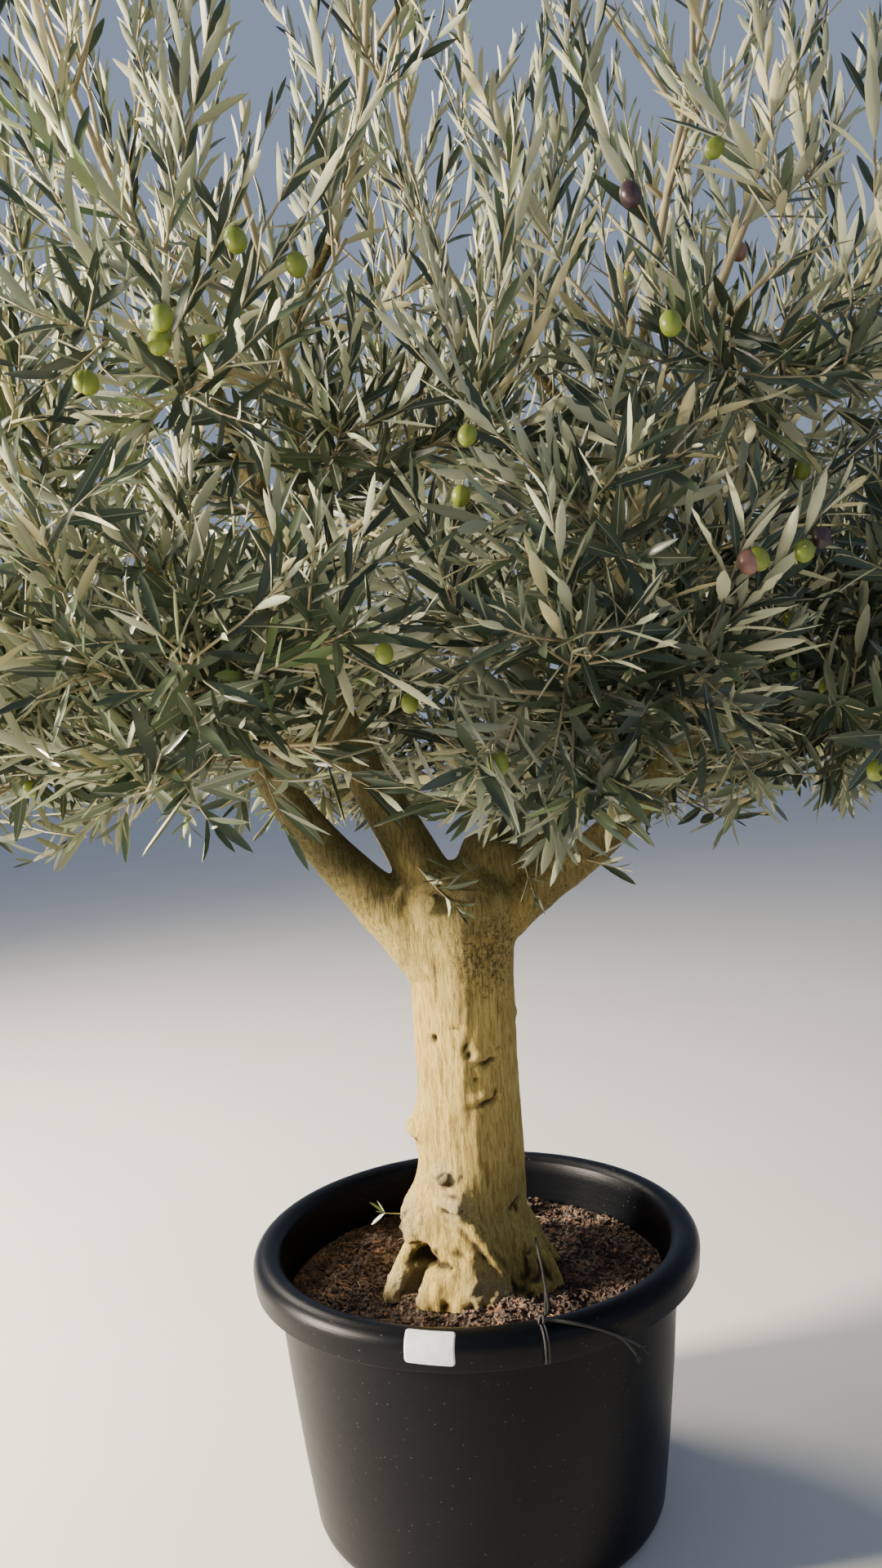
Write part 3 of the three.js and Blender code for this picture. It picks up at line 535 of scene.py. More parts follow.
class Line:
    """A line through points, with the place and direction at any share of its length."""

    def __init__(self, points):
        self.points = points
        steps = [np.linalg.norm(b - a) for a, b in zip(points, points[1:])]
        self.reached = np.concatenate([[0], np.cumsum(steps)])
        self.length = self.reached[-1]
        last = len(points) - 1
        self.headings = [unit(points[min(last, i + 1)] - points[max(0, i - 1)]) for i in range(last + 1)]

    def at(self, share):
        goal = share * self.length
        i = 1
        while i < len(self.points) - 1 and self.reached[i] < goal:
            i += 1
        t = (goal - self.reached[i - 1]) / (self.reached[i] - self.reached[i - 1])
        along = unit(mix(self.headings[i - 1], self.headings[i], t))
        return mix(self.points[i - 1], self.points[i], t), along


def even_shares(start, stop, steps):
    return [mix(start, stop, i / steps) for i in range(steps + 1)]


# %% The masses and the crown's reach
def mass_plan():
    """The masses of the crown, each with its middle, its habit and its seed."""
    plan = []
    for ring, (count, first, out, height, lean, spray, lift) in RINGS.items():
        for i in range(count):
            bearing = first + 360 * i / count
            middle = heading(bearing, 0) * out + [CROWN_MIDDLE[0], CROWN_MIDDLE[1], height]
            plan.append(
                dict(name=f"{ring}_{i}", bearing=bearing, middle=middle, lean=lean, spray=spray, lift=lift)
            )
    for name, (height, lean, spray, lift) in CENTRES.items():
        middle = np.array([CROWN_MIDDLE[0], CROWN_MIDDLE[1], height])
        plan.append(dict(name=name, bearing=0, middle=middle, lean=lean, spray=spray, lift=lift))
    for i, mass in enumerate(plan):
        mass["seed"] = FIRST_SEED + SEED_STEP * i
        others = np.array([other["middle"] for other in plan if other is not mass]) - mass["middle"]
        mass["apart"] = np.linalg.norm(others, axis=1)
        mass["across"] = others / mass["apart"][:, None]
    return plan


def crown_measure(p):
    """How far out a point lies in the crown's reach: under 1 is inside."""
    height, power = DOME if p[2] > CROWN_MIDDLE[2] else BOWL
    out = math.hypot(p[0] - CROWN_MIDDLE[0], p[1] - CROWN_MIDDLE[1]) / CROWN_RADIUS
    return out**power + (abs(p[2] - CROWN_MIDDLE[2]) / height) ** power


def reach_along(p, direction, most, halvings):
    """How far a line may go from a point and stay in the crown's reach."""
    if crown_measure(p + direction * most) <= 1:
        return most
    low, high = 0, most
    for _ in range(halvings):
        middle = (low + high) / 2
        if crown_measure(p + direction * middle) > 1:
            high = middle
        else:
            low = middle
    return low


def room_along(mass, p, direction):
    """The distance from a point to the edge of a mass's own space."""
    inside = mass["apart"] / 2 - CELL_MARGIN - mass["across"] @ (p - mass["middle"])
    if inside.min() < 0:
        return 0
    speed = mass["across"] @ direction
    closing = speed > 1e-9
    room = min([2 * CROWN_RADIUS, *(inside[closing] / speed[closing])])
    return reach_along(p, direction, room, HALVINGS)


def is_inside(mass, p):
    """Whether a point is in a mass's own space and in the crown's reach."""
    inside = mass["apart"] / 2 - CELL_MARGIN - mass["across"] @ (p - mass["middle"])
    return crown_measure(p) <= 1 and inside.min() >= 0


masses = mass_plan()
mass_named = {mass["name"]: mass for mass in masses}
print("crown reaches", CROWN_MIDDLE[2] + DOME[0], "mm")


# %% Boughs, limbs and stems
def trunk_middle(z):
    """How far the trunk leans over at a height."""
    return TRUNK_LEAN * min(1, (z - TRUNK_FOOT) / (FORK_HEIGHT - TRUNK_FOOT))


def entry_point(mass, start):
    """Where a bough or limb that comes from a point enters its mass."""
    towards = start - mass["middle"]
    whole = np.linalg.norm(towards)
    towards = towards / whole
    room = room_along(mass, mass["middle"], towards)
    return mass["middle"] + towards * min(ENTRY_DEPTH * room, ENTRY_SHARE * whole)


def bough_line(bearing, drift, rise, length, offset, mass):
    """A bough leaves the fork, turns up at its elbow and bends into the mass that it feeds."""
    leaving, elbow, end = rise
    fork = np.array([trunk_middle(FORK_HEIGHT), 0, FORK_HEIGHT])
    points = [fork + heading(bearing, 0) * offset]
    for i in range(BOUGH_POINTS):
        share = (i + 0.5) / BOUGH_POINTS
        if share < ELBOW:
            steepness = mix(leaving, elbow, share / ELBOW)
        else:
            steepness = mix(elbow, end, (share - ELBOW) / (1 - ELBOW))
        points.append(points[-1] + heading(bearing + drift * share, steepness) * (length / BOUGH_POINTS))
    entry = entry_point(mass, points[-1])
    ease = BEND_EASE * np.linalg.norm(points[-1] - entry)
    return Line([*points, *bend(points[-1], points[-1] + heading(bearing + drift, end) * ease, entry)[1:]])


boughs = {}
limbs = {}
feeders = {}
for name, (bearing, drift, rise, length, radius, offset, feeds, branches) in BOUGHS.items():
    line = bough_line(bearing, drift, rise, length, offset, mass_named[feeds])

    def bough_radius(share, line=line, radius=radius):
        swell = 1 + CROTCH_SWELL * math.exp(-share * line.length / CROTCH_LENGTH)
        return swell * mix(radius, BOUGH_TIP_RADIUS, share**BOUGH_TAPER)

    boughs[name] = (line, bough_radius)
    split = COLLAR / line.length
    shares = even_shares(0, split, COLLAR_STEPS) + even_shares(split + GAP / line.length, 1, BOUGH_STEPS)
    feeders[feeds] = [(*line.at(share), bough_radius(share)) for share in shares]
    for fed, at in branches.items():
        point, along = line.at(at)
        entry = entry_point(mass_named[fed], point)
        control = point + along * (BEND_EASE * np.linalg.norm(point - entry))
        root = min(LIMB_MOST_RADIUS, LIMB_SHARE * bough_radius(at))
        limb = Line(bend(point, control, entry))
        limbs[fed] = (limb, lambda share, root=root: mix(root, LIMB_TIP_RADIUS, share))
        feeders[fed] = [(*limb.at(s), mix(root, LIMB_TIP_RADIUS, s)) for s in even_shares(0, 1, LIMB_STEPS)]
print("boughs:", len(boughs), "limbs:", len(limbs))


# %% Distances between limbs, and the stems
def stretch_distances(a, b, starts, ends):
    """The shortest distance from the stretch a to b to each of some other stretches."""
    u, v, w = b - a, ends - starts, a - starts
    uu, uv, vv = u @ u, v @ u, (v * v).sum(1)
    uw, vw = w @ u, (w * v).sum(1)
    spread = uu * vv - uv * uv
    skew = spread > 1e-9
    s = np.where(skew, np.clip((uv * vw - vv * uw) / np.where(skew, spread, 1), 0, 1), 0)
    t = np.clip((uv * s + vw) / vv, 0, 1)
    s = np.clip((uv * t - uw) / uu, 0, 1)
    return np.linalg.norm(w + s[:, None] * u - t[:, None] * v, axis=1)


def stretches(path):
    """A path's straight stretches: their starts, their ends, and how thick each is at most."""
    points = np.array([place[0] for place in path])
    radii = np.array([place[2] for place in path])
    return points[:-1], points[1:], np.maximum(radii[:-1], radii[1:])


head = [(np.array([TRUNK_LEAN, 0.0, z]), UP, HEAD_RADIUS) for z in (HEAD_LOW, TRUNK_TOP)]
all_paths = {**{name: stretches(path) for name, path in feeders.items()}, "head": stretches(head)}


def stem_of(mass, tip):
    """A mass's stem goes on from the tip of its limb and bends to the mass's own lean."""
    point, along, _ = tip
    start = point + along * GAP
    lean = heading(mass["bearing"], mass["lean"])
    goal = mass["middle"] + lean * (STEM_REACH * room_along(mass, mass["middle"], lean))
    return Line(bend(start, start + along * (BEND_EASE * np.linalg.norm(goal - start)), goal))


print("paths:", len(all_paths))


# %% Growing one mass
def grow_mass(mass):
    """The stem, twigs and sprays of one mass, as the solids have them."""
    random_share = seeded(mass["seed"])
    tip = feeders[mass["name"]][-1]
    stem = stem_of(mass, tip)
    own = all_paths[mass["name"]]
    others = [np.concatenate(part) for part in zip(*(p for n, p in all_paths.items() if n != mass["name"]))]
    twigs, sprays = [], []

    def between(low, high):
        return mix(low, high, random_share())

    def clears(start, end, girth):
        to_others = stretch_distances(start, end, others[0], others[1])
        if not (to_others > others[2] + girth + LIMB_MARGIN).all():
            return False
        return (stretch_distances(start, end, own[0], own[1]) > own[2] + LIMB_MARGIN).all()

    def apart(start, end):
        if not sprays:
            return True
        starts = np.array([s["free"] for s in sprays])
        ends = np.array([s["tip"] for s in sprays])
        return (stretch_distances(start, end, starts, ends) > SPRAY_APART).all()

    def room_at(p):
        return min([CROWN_RADIUS, *(np.linalg.norm(s["middle"] - p) for s in sprays)])

    def try_twig(step):
        at = mix(TWIG_FIRST, 1, (step + random_share()) / TWIGS)
        angle = mix(*TWIG_ANGLES, at) * DEG * between(*TWIG_TURN)
        round_it = between(0, math.tau)
        reach = between(*TWIG_REACH)
        root, along = stem.at(at)
        direction = turned_from(along, angle, round_it, TWIG_LIFT * mass["lift"])
        length = min(TWIG_LENGTHS[1], reach * room_along(mass, root, direction))
        end = root + direction * length
        free = root + direction * ROOT_FREE
        if length < TWIG_LENGTHS[0] or not clears(free, end, TWIG_RADIUS) or not apart(free, end):
            return None
        return dict(root=root, tip=end, direction=direction, length=length, room=room_at(end))

    def try_spray(twig, root, along, angle):
        full = mass["spray"] * between(*SPRAY_STRETCH)
        round_it = between(0, math.tau)
        tilt = angle * DEG * between(*SPRAY_TURN)
        direction = turned_from(along, tilt, round_it, mass["lift"] * between(*SPRAY_RAISE))
        length = min(full, between(*SPRAY_REACH) * room_along(mass, root, direction))
        end = root + direction * length
        free = root + direction * ROOT_FREE
        width = SPRAY_WIDTH * math.sqrt(length / full)
        across = square_to(direction)[0] * (width / 2)
        widest = mix(root, end, SPRAY_WIDEST)
        if length < SPRAY_LEAST * full:
            return None
        if not (is_inside(mass, widest + across) and is_inside(mass, widest - across)):
            return None
        if not clears(free, end, width / 2) or not apart(free, end):
            return None
        if twigs:
            starts = np.array([t["root"] for t in twigs])
            ends = np.array([t["tip"] for t in twigs])
            least = np.array([TWIG_CLEARANCE if t is twig else SPRAY_APART for t in twigs])
            if not (stretch_distances(free, end, starts, ends) > least).all():
                return None
        middle = mix(root, end, 0.5)
        room = room_at(middle) + LENGTH_WORTH * length
        return dict(root=root, free=free, tip=end, middle=middle, length=length, room=room)

    def roomiest(attempts):
        found = [one for one in attempts if one]
        return max(found, key=lambda one: one["room"]) if found else None

    def add_spray(twig, root, along, angle):
        spray = roomiest([try_spray(twig, root, along, angle) for _ in range(TRIES)])
        if spray and len(sprays) < SPRAYS_MOST:
            sprays.append(spray)

    for step in range(TWIGS):
        twig = roomiest([try_twig(step) for _ in range(TRIES)])
        if not twig:
            continue
        twigs.append(twig)
        count = int(twig["length"] // SPRAY_SPACING) + 1
        for i in range(count):
            share = (i + SPRAY_INSET) / (count - 1 + 2 * SPRAY_INSET)
            add_spray(twig, mix(twig["root"], twig["tip"], share), twig["direction"], SPRAY_ANGLE)
        add_spray(twig, twig["tip"], twig["direction"], SPRAY_END_ANGLE)
    add_spray(None, *stem.at(STEM_END), SPRAY_END_ANGLE)
    return dict(stem=stem, tip_radius=tip[2], twigs=twigs, sprays=sprays)


grown = {mass["name"]: grow_mass(mass) for mass in masses}
for part in ("twigs", "sprays"):
    print(f"{part}:", sum(len(g[part]) for g in grown.values()))

# %% [markdown]
# ## The wood
#
# An olive trunk of this age is muscular: ridges run down into root legs, old wounds close over as
# knots, and burls swell near the foot. Boughs flow into the trunk without a seam. Solid modelling
# leaves creases where cones meet, so the wood is built as overlapping closed limbs and then
# remeshed on a grid, which melts them into one skin. The grid is 3.3 mm for the trunk and the fork,
# where the eye rests, and coarser further out. The two skins are cut a little past each other.

# %% Sizes of the wood
TRUNK_SIDES = 120
TRUNK_RINGS = 150
LIMB_SIDES = 14
RING_STEP = 25
SUNK = 12
# The root legs make the rest of the flare, with hollows between them
FLARE_SHARE = 0.35
# Near the fork the boughs are slimmer and sit higher than their solids, which leave no hollow. The
# one that leaves lowest is stout, and bows outwards and down on its way
BOUGH_SLIM = 0.22
BOUGH_RISE = 20
BOUGH_EASE = 120
LOW_BOUGH = "left"
LOW_SWELL = 1.16
LOW_BOW = np.array([-28, 0, -20])
BOW_REACH = 60
BOW_STATIONS = 200
# How far below its top the trunk starts to round over, and how much of its width is left there
HEAD_ROUND = 70
LEAST_DOME = 0.12
LUMP_STEPS = 8
# Root legs, burls and folds, each a list of bearing, distance from the axis, height and radius
LUMPS = [
    [(197, 88, 474, 26), (198, 92, 454, 32), (201, 92, 432, 26)],
    [(194, 84, 440, 22), (196, 108, 398, 22), (198, 128, 360, 25), (198, 134, 338, 26)],
    [(222, 78, 420, 13), (223, 98, 388, 15), (224, 112, 358, 18), (224, 116, 338, 20)],
    [(240, 80, 500, 12), (252, 84, 482, 15), (270, 86, 452, 17), (284, 88, 420, 15), (292, 88, 396, 10)],
    [(236, 72, 476, 18), (244, 82, 430, 22), (248, 90, 388, 22), (250, 94, 345, 22)],
    [(232, 80, 446, 20), (234, 88, 404, 24), (236, 95, 364, 25), (236, 98, 338, 22)],
    [(262, 82, 424, 22), (266, 88, 384, 26), (268, 91, 345, 27)],
    [(255, 94, 380, 12), (254, 105, 360, 12), (252, 112, 340, 11)],
    [(264, 94, 374, 11), (266, 106, 357, 11), (267, 112, 340, 11)],
    [(275, 94, 372, 10), (276, 106, 357, 10), (278, 112, 340, 11)],
    [(290, 84, 420, 16), (294, 94, 376, 16), (296, 100, 344, 16)],
    [(235, 80, 548, 8), (237, 83, 540, 11), (239, 80, 530, 8)],
    [(246, 80, 512, 9), (249, 84, 503, 13), (247, 80, 492, 9)],
    [(318, 70, 448, 20), (320, 88, 402, 21), (322, 104, 366, 20), (322, 112, 338, 20)],
    [(340, 76, 440, 20), (342, 94, 396, 22), (342, 114, 360, 22), (342, 122, 338, 22)],
    [(24, 76, 440, 22), (22, 100, 380, 27), (20, 122, 338, 28)],
    [(92, 74, 450, 24), (92, 104, 384, 30), (92, 128, 338, 30)],
    [(146, 76, 430, 22), (147, 102, 374, 26), (148, 124, 338, 26)],
    [(242, 70, 952, 20), (242, 92, 962, 18), (242, 104, 966, 17)],
    [(206, 70, 970, 17), (206, 94, 978, 14), (206, 104, 981, 13)],
]
print("lumps:", len(LUMPS))

# %% The low bough's bow and the trunk's outline
low_shares = even_shares(0, 1, BOW_STATIONS)
low_places = np.array([boughs[LOW_BOUGH][0].at(share)[0] for share in low_shares])


def bowed(place):
    """A place moved with the low bough, the less the further it is from it."""
    away = np.linalg.norm(low_places - place, axis=1)
    nearest = int(np.argmin(away))
    share = math.sin(math.pi * low_shares[nearest]) * math.exp(-((away[nearest] / BOW_REACH) ** 2))
    return place + LOW_BOW * share


def trunk_radius(z, bearing):
    """The trunk's radius at a height and bearing: the solid's, but for part of its flare."""
    share = min(1, max(0, (z - HEAD_LOW) / (TRUNK_TOP - HEAD_LOW)))
    swell = HEAD_SWELL * share * share * (3 - 2 * share)
    radius = TRUNK_RADIUS + FLARE_SHARE * FLARE * math.exp(-(z - SOIL_TOP) / FLARE_HEIGHT) + swell
    for at, height, out, across, up in BURLS:
        sideways = ((bearing - at + 540) % 360 - 180) * DEG * TRUNK_RADIUS / across
        upwards = (z - height) / up
        radius += out * math.exp(-0.5 * (sideways * sideways + upwards * upwards))
    return radius


def off_trunk(bearing, out, z):
    """The place at a height, and at a bearing and distance from the trunk's middle line."""
    return np.array([trunk_middle(max(z, TRUNK_FOOT)), 0, z]) + heading(bearing, 0) * out


def rings_round(places, sides):
    """Rings of points round places on a line, each with its direction and radius."""
    side, _ = square_to(places[0][1])
    points = []
    turns = [math.tau * k / sides for k in range(sides)]
    for point, along, radius in places:
        side = unit(side - along * (side @ along))
        other = np.cross(along, side)
        points += [point + side * (radius * math.cos(t)) + other * (radius * math.sin(t)) for t in turns]
    return points


print("the trunk's radius at mid height:", round(trunk_radius(700, 270), 1), "mm")

# %% The limbs, ring by ring
wood_points = []
wood_faces = []


def add_wood(places):
    """Adds a closed limb: each place is a point, a direction and a radius."""
    wood_faces.extend(ring_faces(len(places), LIMB_SIDES, len(wood_points)))
    wood_points.extend(rings_round(places, LIMB_SIDES))


column = []
for ring in range(TRUNK_RINGS + 1):
    z = mix(TRUNK_FOOT - SUNK, TRUNK_TOP, ring / TRUNK_RINGS)
    below_top = (TRUNK_TOP - z) / HEAD_ROUND
    dome = math.sqrt(max(LEAST_DOME, 1 - (1 - below_top) ** 2)) if below_top < 1 else 1
    for i in range(TRUNK_SIDES):
        bearing = 360 * i / TRUNK_SIDES
        radius = dome * (trunk_radius(max(z, TRUNK_FOOT), bearing) - 1)
        column.append(off_trunk(bearing, radius, z))
wood_faces.extend(ring_faces(TRUNK_RINGS + 1, TRUNK_SIDES, 0))
wood_points.extend(column)
for name, (line, radius_at) in boughs.items():
    places = []
    for share in even_shares(0, 1, int(line.length / RING_STEP)):
        near = math.exp(-share * line.length / BOUGH_EASE)
        point, along = line.at(share)
        if name == LOW_BOUGH:
            places.append((bowed(point), along, radius_at(share) * LOW_SWELL))
        else:
            raised = point + UP * (BOUGH_RISE * near)
            places.append((raised, along, radius_at(share) * (1 - BOUGH_SLIM * near)))
    add_wood(places)
for line, radius_at in limbs.values():
    steps = max(4, int(line.length / RING_STEP))
    places = [(*line.at(share), radius_at(share)) for share in even_shares(0, 1, steps)]
    add_wood([(bowed(point), along, radius) for point, along, radius in places])
stub_bearing, stub_rise, stub_length, stub_radius = STUB
stub_along = heading(stub_bearing, stub_rise)
fork = np.array([trunk_middle(FORK_HEIGHT), 0, FORK_HEIGHT])
stub_ends = [(0, 1), (0.8, 1.0), (0.93, 0.98), (1, 0.86)]
add_wood([(fork + stub_along * (stub_length * s), stub_along, stub_radius * r) for s, r in stub_ends])
for lump in LUMPS:
    line = Line([off_trunk(bearing, out, z) for bearing, out, z, _ in lump])
    shares = line.reached / line.length
    radii = [radius for _, _, _, radius in lump]
    even = even_shares(0, 1, LUMP_STEPS)
    add_wood([(*line.at(s), float(np.interp(s, shares, radii))) for s in even])
print("closed limbs:", len(wood_points), "points")

# %% Two skins
CORE_VOXEL_MM = 3.3
CORE_SMOOTHING = 6
OUTER_VOXEL_MM = 4.6
OUTER_SMOOTHING = 5
CORE_MIDDLE = np.array([TRUNK_LEAN, 0, 930]) * MM
CORE_REACH = 330 * MM
LAP = 25 * MM


def applied(piece, kind, **settings):
    """Gives a piece the mesh that a modifier makes of it."""
    modifier = piece.modifiers.new(kind, kind)
    for name, value in settings.items():
        setattr(modifier, name, value)
    evaluated = piece.evaluated_get(bpy.context.evaluated_depsgraph_get())
    mesh = bpy.data.meshes.new_from_object(evaluated)
    piece.modifiers.clear()
    old = piece.data
    piece.data = mesh
    mesh.name = piece.name
    bpy.data.meshes.remove(old)


def points_of(mesh, what="co"):
    """A mesh's points, or their normals, as rows of numbers."""
    values = np.zeros(len(mesh.vertices) * 3, np.float32)
    mesh.vertices.foreach_get(what, values)
    return values.reshape(-1, 3).astype(float)


def melted(name, voxel, rounds, keeps):
    """The limbs as one skin, cut to the places that a test keeps."""
    piece = object_from(name, np.array(wood_points) * MM, wood_faces, [])
    applied(piece, "REMESH", mode="VOXEL", voxel_size=voxel * MM)
    applied(piece, "SMOOTH", factor=0.5, iterations=rounds)
    kept = keeps(points_of(piece.data))
    corners = np.zeros(len(piece.data.polygons) * 4, np.int32)
    piece.data.polygons.foreach_get("vertices", corners)
    corners = corners.reshape(-1, 4)
    corners = corners[kept[corners].all(axis=1)]
    used, renumbered = np.unique(corners, return_inverse=True)
    places = points_of(piece.data)[used]
    bpy.data.objects.remove(piece)
    return object_from(name, places, renumbered.reshape(-1, 4).tolist(), [])


def from_core(places):
    """How far places lie from the fork, where all that is below it counts as near."""
    away = np.linalg.norm(places - CORE_MIDDLE, axis=1)
    return np.where(places[:, 2] < CORE_MIDDLE[2], 0, away)


trunk_skin = melted("trunk_and_fork", CORE_VOXEL_MM, CORE_SMOOTHING, lambda p: from_core(p) < CORE_REACH)
bough_skin = melted("boughs", OUTER_VOXEL_MM, OUTER_SMOOTHING, lambda p: from_core(p) > CORE_REACH - LAP)
print("faces of the trunk:", len(trunk_skin.data.polygons), "of the boughs:", len(bough_skin.data.polygons))

# %% [markdown]
# The skin is smooth everywhere now. Round the fork the crotches are still sharp valleys, where a
# living tree fills them with new wood, so the points there are averaged with their neighbours
# many times. After that the relief goes in along each point's normal: fissures down the trunk,
# lumps over the whole of it, a crust on the burls, and knots and wounds where the photograph
# shows them. How deep a place lies in a wound, a hollow or a shaded patch, and how crusty it is,
# is kept with each point, because the bark's colour needs to know it. The colour darkens those
# places with dark wood and with painted shade.

# %% Knots, wounds, painted shade and crusts
FORK_MIDDLE = np.array([10, 0, 985]) * MM
FORK_REACH = 130 * MM
FORK_ROUNDS = 24
# Marks on the trunk: bearing, height, half-length, half-width, tilt from upright, and how far out.
# The colour of a sunk mark is darkened, as dark wood and as painted shade in its hollow
MARKS = [
    (233, 754, 10, 10, 0, 2.6), (233, 754, 4.5, 4.5, 0, -9), (256, 770, 9, 2.5, 85, -4),
    (291, 716, 13, 3.4, 80, -9), (291, 727, 16, 6, 80, 2.6), (288, 653, 15, 3.8, 78, -9),
    (284, 664, 14, 7, 80, 5), (298, 662, 10, 2.8, 8, -7), (309, 788, 16, 2.5, 5, -3.5),
    (262, 690, 30, 7, 8, 2.2), (262, 800, 40, 8, -6, 2.0),
    (268, 742, 8, 3.5, 10, -6), (270, 728, 5, 3, 40, -6), (276, 690, 4, 3, 0, -5), (309, 735, 14, 3, 70, -3),
    (227, 538, 3, 6, 20, -5), (235, 545, 6, 3, 30, -5), (241, 533, 3, 6, -20, -5), (235, 527, 3, 6, 10, -4),
    (229, 540, 8, 13, 0, 5), (243, 545, 7, 9, 0, 5), (236, 535, 3, 4, 0, 4),
    (237, 500, 9, 10, 0, 7), (250, 509, 10, 9, 0, 8), (247, 492, 7, 10, 0, 6), (259, 503, 8, 8, 0, 6),
    (241, 494, 3, 7, 20, -7), (247, 517, 2.5, 9, 0, -5), (254, 497, 5, 2.5, 30, -5),
    (222, 416, 8, 18, 0, -13), (236, 413, 6, 13, 0, -10), (208, 408, 8, 9, 0, -12), (211, 384, 26, 7, 4, -14),
    (212, 362, 16, 9, 0, -9), (246, 470, 26, 4, -52, 4), (232, 372, 10, 5, 12, 4), (240, 352, 7, 5, 0, -5),
    (266, 440, 34, 5, -38, -5), (272, 452, 34, 7, -38, 5), (288, 416, 22, 5, -40, -4), (244, 410, 8, 8, 0, 4),
    (244, 410, 3, 3, 0, -7), (260, 355, 8, 4, 10, -6), (271, 353, 7, 4, -6, -6), (284, 356, 8, 4, 12, -5),
    (250, 430, 4, 12, 20, -4), (282, 413, 7, 9, 0, 4), (318, 486, 4, 16, -20, -6), (321, 480, 9, 4, 10, -5),
    (311, 396, 24, 5, 14, -6), (331, 380, 18, 6, -12, -6), (322, 414, 4, 13, 12, -5),
    (319, 378, 5, 14, -8, -6),
    (192, 604, 9, 12, 0, 4), (196, 586, 5, 14, 0, -5), (343, 570, 60, 8, 0, 3), (300, 372, 14, 5, 0, -8),
    (70, 640, 18, 18, 0, 5), (70, 640, 7, 7, 0, -9), (120, 800, 14, 14, 0, 4), (120, 800, 5, 5, 0, -8),
    (30, 560, 15, 15, 0, 5), (30, 560, 5, 6, 0, -8), (160, 520, 18, 16, 0, 6), (100, 470, 22, 20, 0, 8),
    (12, 760, 13, 3, 82, -6), (12, 770, 16, 6, 82, 3), (150, 700, 13, 3, 82, -6), (150, 710, 16, 6, 82, 3),
    (60, 372, 20, 8, 0, -10), (120, 372, 20, 8, 0, -10), (170, 380, 24, 8, 0, -10), (8, 376, 20, 8, 0, -10),
]
# Dark patches: painted shade where the root and the gaps between the legs lie in shadow, and dark cracked
# bark. Each is a bearing, height and reach
SHADE_AND_DARK_BARK_PATCHES = [(318, 394, 30), (306, 366, 16), (228, 430, 10), (238, 538, 13), (92, 380, 22), (330, 372, 22)]
MARK_SWAY_MM = 3.5
MARK_SWAY_WAVE = 14
MARK_SWAY_SEED = 3
# Crusted places: bearing, height and reach
CRUSTS = [
    (198, 468, 34), (247, 503, 22), (237, 540, 22), (270, 376, 26), (284, 372, 22), (204, 372, 26),
    (214, 366, 20), (100, 470, 26),
]
print("marks:", len(MARKS), "dark_and_shade_patches:", len(SHADE_AND_DARK_BARK_PATCHES), "crusts:", len(CRUSTS))


# %% Two steps of the relief
def surface_gaps(places, bearing, height):
    """How far round and how far up each place lies from a mark on the trunk, in millimetres."""
    x, y = places[:, 0] / MM - TRUNK_LEAN, places[:, 1] / MM
    radius = np.hypot(x, y)
    turn = (np.degrees(np.arctan2(y, x)) - bearing + 540) % 360 - 180
    far = np.where(np.abs(turn) < 60, 0, 1e4) + np.where(radius < 190, 0, 1e4)
    return turn * DEG * np.minimum(radius, 130) + far, places[:, 2] / MM - height


def eased(places, mesh):
    """The places with the crotches round the fork filled."""
    edges = np.zeros(len(mesh.edges) * 2, np.int32)
    mesh.edges.foreach_get("vertices", edges)
    edges = edges.reshape(-1, 2)
    count = len(places)
    degree = np.bincount(edges.ravel(), minlength=count)[:, None]
    pull = 1.6 - np.linalg.norm((places - FORK_MIDDLE) / [1, 1, 0.8], axis=1) / FORK_REACH
    pull = np.clip(pull, 0, 1)[:, None] * 0.5
    for _ in range(FORK_ROUNDS):
        near = np.zeros_like(places)
        for axis in range(3):
            near[:, axis] = np.bincount(edges[:, 0], places[edges[:, 1], axis], count)
            near[:, axis] += np.bincount(edges[:, 1], places[edges[:, 0], axis], count)
        places = places + (near / degree - places) * pull
    return places


print("the fork is eased", FORK_ROUNDS, "times")


